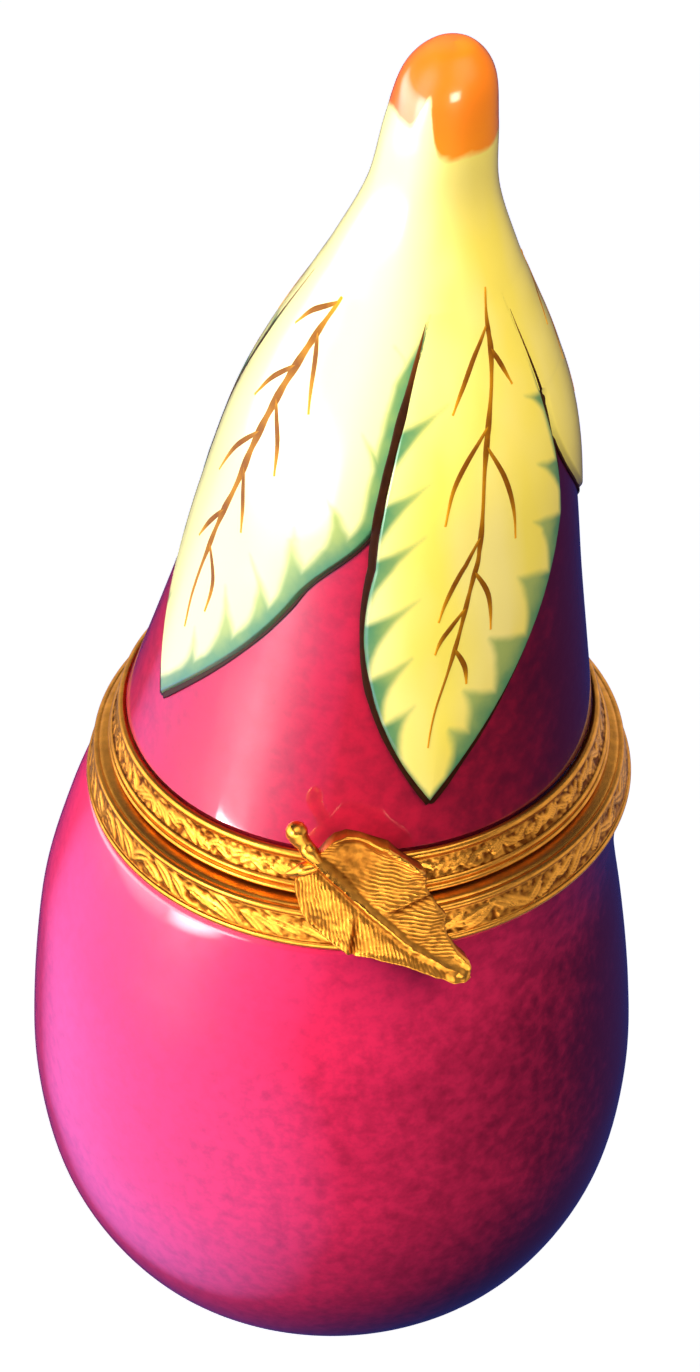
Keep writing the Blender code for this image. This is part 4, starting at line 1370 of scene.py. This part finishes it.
def add_area(name, power, size, place, colour, receivers=None, soft=False):
    """A soft box that the camera doesn't see, at (azimuth, elevation, distance) from the box."""
    data = bpy.data.lights.new(name, "AREA")
    data.shape = "RECTANGLE"
    data.size, data.size_y = size
    data.energy = power
    data.color = to_linear(colour)[:3]
    if soft:
        data.use_nodes = True
        tree = data.node_tree
        tree.nodes.clear()
        spot = add_node(tree, "ShaderNodeNewGeometry").outputs["Parametric"]
        centred = add_node(tree, "ShaderNodeVectorMath", {
            0: spot, 1: (2.0, 2.0, 0.0), 2: (-1.0, -1.0, 0.0)}, operation="MULTIPLY_ADD")
        square = add_node(tree, "ShaderNodeVectorMath", {
            0: centred.outputs[0], 1: centred.outputs[0]}, operation="MULTIPLY")
        parts = add_node(tree, "ShaderNodeSeparateXYZ", {0: square.outputs[0]})
        wide = add_node(tree, "ShaderNodeMath", {0: 1.0, 1: parts.outputs[0]}, operation="SUBTRACT")
        tall = add_node(tree, "ShaderNodeMath", {0: 1.0, 1: parts.outputs[1]}, operation="SUBTRACT")
        glow = add_node(tree, "ShaderNodeMath", {
            0: wide.outputs[0], 1: tall.outputs[0]}, operation="MULTIPLY")
        emission = add_node(tree, "ShaderNodeEmission", {
            "Color": to_linear(colour), "Strength": glow.outputs[0]})
        add_node(tree, "ShaderNodeOutputLight", {0: emission.outputs[0]})
    item = bpy.data.objects.new(name, data)
    bpy.context.scene.collection.objects.link(item)
    item.visible_camera = False
    if receivers:
        item.light_linking.receiver_collection = receivers
    aim(item, around(*place, LIT_MIDDLE), LIT_MIDDLE)
    return item


def around(azimuth, elevation, distance, target):
    """A spot at angles round a target: azimuth 0 is in front and 90 on the right."""
    a, e = math.radians(azimuth), math.radians(elevation)
    return Vector(target) + distance * Vector(
        (math.sin(a) * math.cos(e), -math.cos(a) * math.cos(e), math.sin(e)))


class TRINKET_OT_stage(bpy.types.Operator):
    """Build the floor, the lights and the camera"""
    bl_idname = "trinket.stage"
    bl_label = "Stage"

    def execute(self, context):
        scene = context.scene
        stage = scene.trinket_stage
        add_floor(stage)
        add_room(scene, stage)
        glazed = pieces_with(scene, ("porcelain", "enamel"))
        brass = pieces_with(scene, ("brass",))
        bowl = pieces_with(scene, ("magenta",), "bowl")
        lid = pieces_with(scene, ("magenta",), "lid")
        key = add_area("soft_box", stage.key_power, (0.4, 0.4), (-68, 32, 0.45), "#FFFFFF", glazed, soft=True)
        key.visible_glossy = False
        fill = add_area("right_fill", stage.fill_power, (0.4, 0.4), (48, 52, 0.45), "#FFF4E4", glazed)
        fill.visible_glossy = False
        behind = add_area("back_fill", stage.back_power, (0.4, 0.4), (195, 30, 0.45), "#FFF4E4", glazed)
        behind.visible_glossy = False
        for name, (size, place, strength, colour) in GLOSS_CARDS.items():
            receivers = {"bowl": bowl, "lid": lid}.get(name.split("_")[0], glazed)
            card = add_area(name, strength * stage.gloss_power, size, place, colour, receivers, soft=True)
            card.visible_diffuse = False
        for name, (size, place, power) in BRASS_CARDS.items():
            add_area(name, power, size, place, "#FFF8EE", brass)
        add_camera(scene)
        scene.view_settings.view_transform = "Standard"
        return {"FINISHED"}


def add_floor(stage):
    """A white floor that the shiny box doesn't mirror."""
    material, tree = new_material("white_paper_floor")
    place = add_node(tree, "ShaderNodeTexCoord").outputs["Object"]
    grain = add_node(tree, "ShaderNodeTexNoise", {"Vector": place, "Scale": 900.0, "Detail": 2.0})
    bump = add_node(tree, "ShaderNodeBump", {
        "Height": grain.outputs[0], "Strength": 0.05, "Distance": 0.0002})
    shader = add_node(tree, "ShaderNodeBsdfPrincipled", {
        "Base Color": stage.floor, "Roughness": 0.9, "Normal": bump.outputs[0],
        "Emission Color": stage.floor, "Emission Strength": 1.0})
    add_node(tree, "ShaderNodeOutputMaterial", {"Surface": shader.outputs[0]})
    bpy.ops.mesh.primitive_plane_add(size=6.0, location=(0.0, 0.0, -0.00005))
    floor = bpy.context.object
    floor.name = "floor"
    floor.data.materials.append(material)
    floor.visible_glossy = False
    floor.visible_diffuse = False


def add_room(scene, stage):
    """White to the camera, and a dim blue room to everything the box reflects."""
    world = bpy.data.worlds.new("studio_room")
    scene.world = world
    world.use_nodes = True
    tree = world.node_tree
    tree.nodes.clear()
    path = add_node(tree, "ShaderNodeLightPath")
    white = add_node(tree, "ShaderNodeBackground", {"Color": stage.floor, "Strength": 1.0})
    dim = add_node(tree, "ShaderNodeBackground", {"Color": stage.night, "Strength": ROOM_STRENGTH})
    both = add_node(tree, "ShaderNodeMixShader", {
        0: path.outputs["Is Camera Ray"], 1: dim.outputs[0], 2: white.outputs[0]})
    add_node(tree, "ShaderNodeOutputWorld", {"Surface": both.outputs[0]})


def add_camera(scene):
    """The photo's viewpoint: a long lens looking down on the standing box."""
    right = Vector((math.cos(CAMERA_AZIMUTH), math.sin(CAMERA_AZIMUTH), 0.0))
    ahead = Vector((-math.sin(CAMERA_AZIMUTH) * math.cos(CAMERA_ELEVATION),
                    math.cos(CAMERA_AZIMUTH) * math.cos(CAMERA_ELEVATION), -math.sin(CAMERA_ELEVATION)))
    target = (Vector((RIM_SHIFT, 0.0, AIM_HEIGHT)) + right * AIM_OFFSET) * MM
    data = bpy.data.cameras.new("photo_camera")
    data.sensor_width = SENSOR
    data.lens = SENSOR * PIXELS_PER_MM * CAMERA_DISTANCE / PHOTO_HEIGHT
    data.clip_start = 0.01
    data.clip_end = 20.0
    camera = bpy.data.objects.new("photo_camera", data)
    scene.collection.objects.link(camera)
    aim(camera, target - ahead * CAMERA_DISTANCE * MM, target)
    scene.camera = camera


class TRINKET_PT_panel(bpy.types.Panel):
    """Colours, sizes and build steps of the trinket box"""
    bl_idname = "TRINKET_PT_panel"
    bl_label = "Trinket box"
    bl_space_type = "VIEW_3D"
    bl_region_type = "UI"
    bl_category = "Trinket box"

    def draw(self, context):
        for group in (context.scene.trinket_glaze, context.scene.trinket_brass,
                      context.scene.trinket_stage):
            box = self.layout.box()
            for name in type(group).__annotations__:
                box.prop(group, name)
        for operator in OPERATORS:
            self.layout.operator(operator.bl_idname)


SETTINGS = {
    "trinket_glaze": TRINKET_GlazeSettings,
    "trinket_brass": TRINKET_BrassSettings,
    "trinket_stage": TRINKET_StageSettings,
}
OPERATORS = (TRINKET_OT_bowl, TRINKET_OT_lid, TRINKET_OT_rims, TRINKET_OT_clasp, TRINKET_OT_hinge,
             TRINKET_OT_stage)


def register():
    """Add the settings, the operators and the panel."""
    for name, group in SETTINGS.items():
        bpy.utils.register_class(group)
        setattr(bpy.types.Scene, name, bpy.props.PointerProperty(type=group))
    for operator in OPERATORS:
        bpy.utils.register_class(operator)
    bpy.utils.register_class(TRINKET_PT_panel)


def unregister():
    """Take away what register added."""
    bpy.utils.unregister_class(TRINKET_PT_panel)
    for operator in reversed(OPERATORS):
        bpy.utils.unregister_class(operator)
    for name, group in SETTINGS.items():
        delattr(bpy.types.Scene, name)
        bpy.utils.unregister_class(group)


def main():
    """Register the add-on and build the box and its stage."""
    register()
    bpy.ops.trinket.bowl()
    bpy.ops.trinket.lid()
    bpy.ops.trinket.rims()
    bpy.ops.trinket.clasp()
    bpy.ops.trinket.hinge()
    bpy.ops.trinket.stage()


if __name__ == "__main__":
    main()
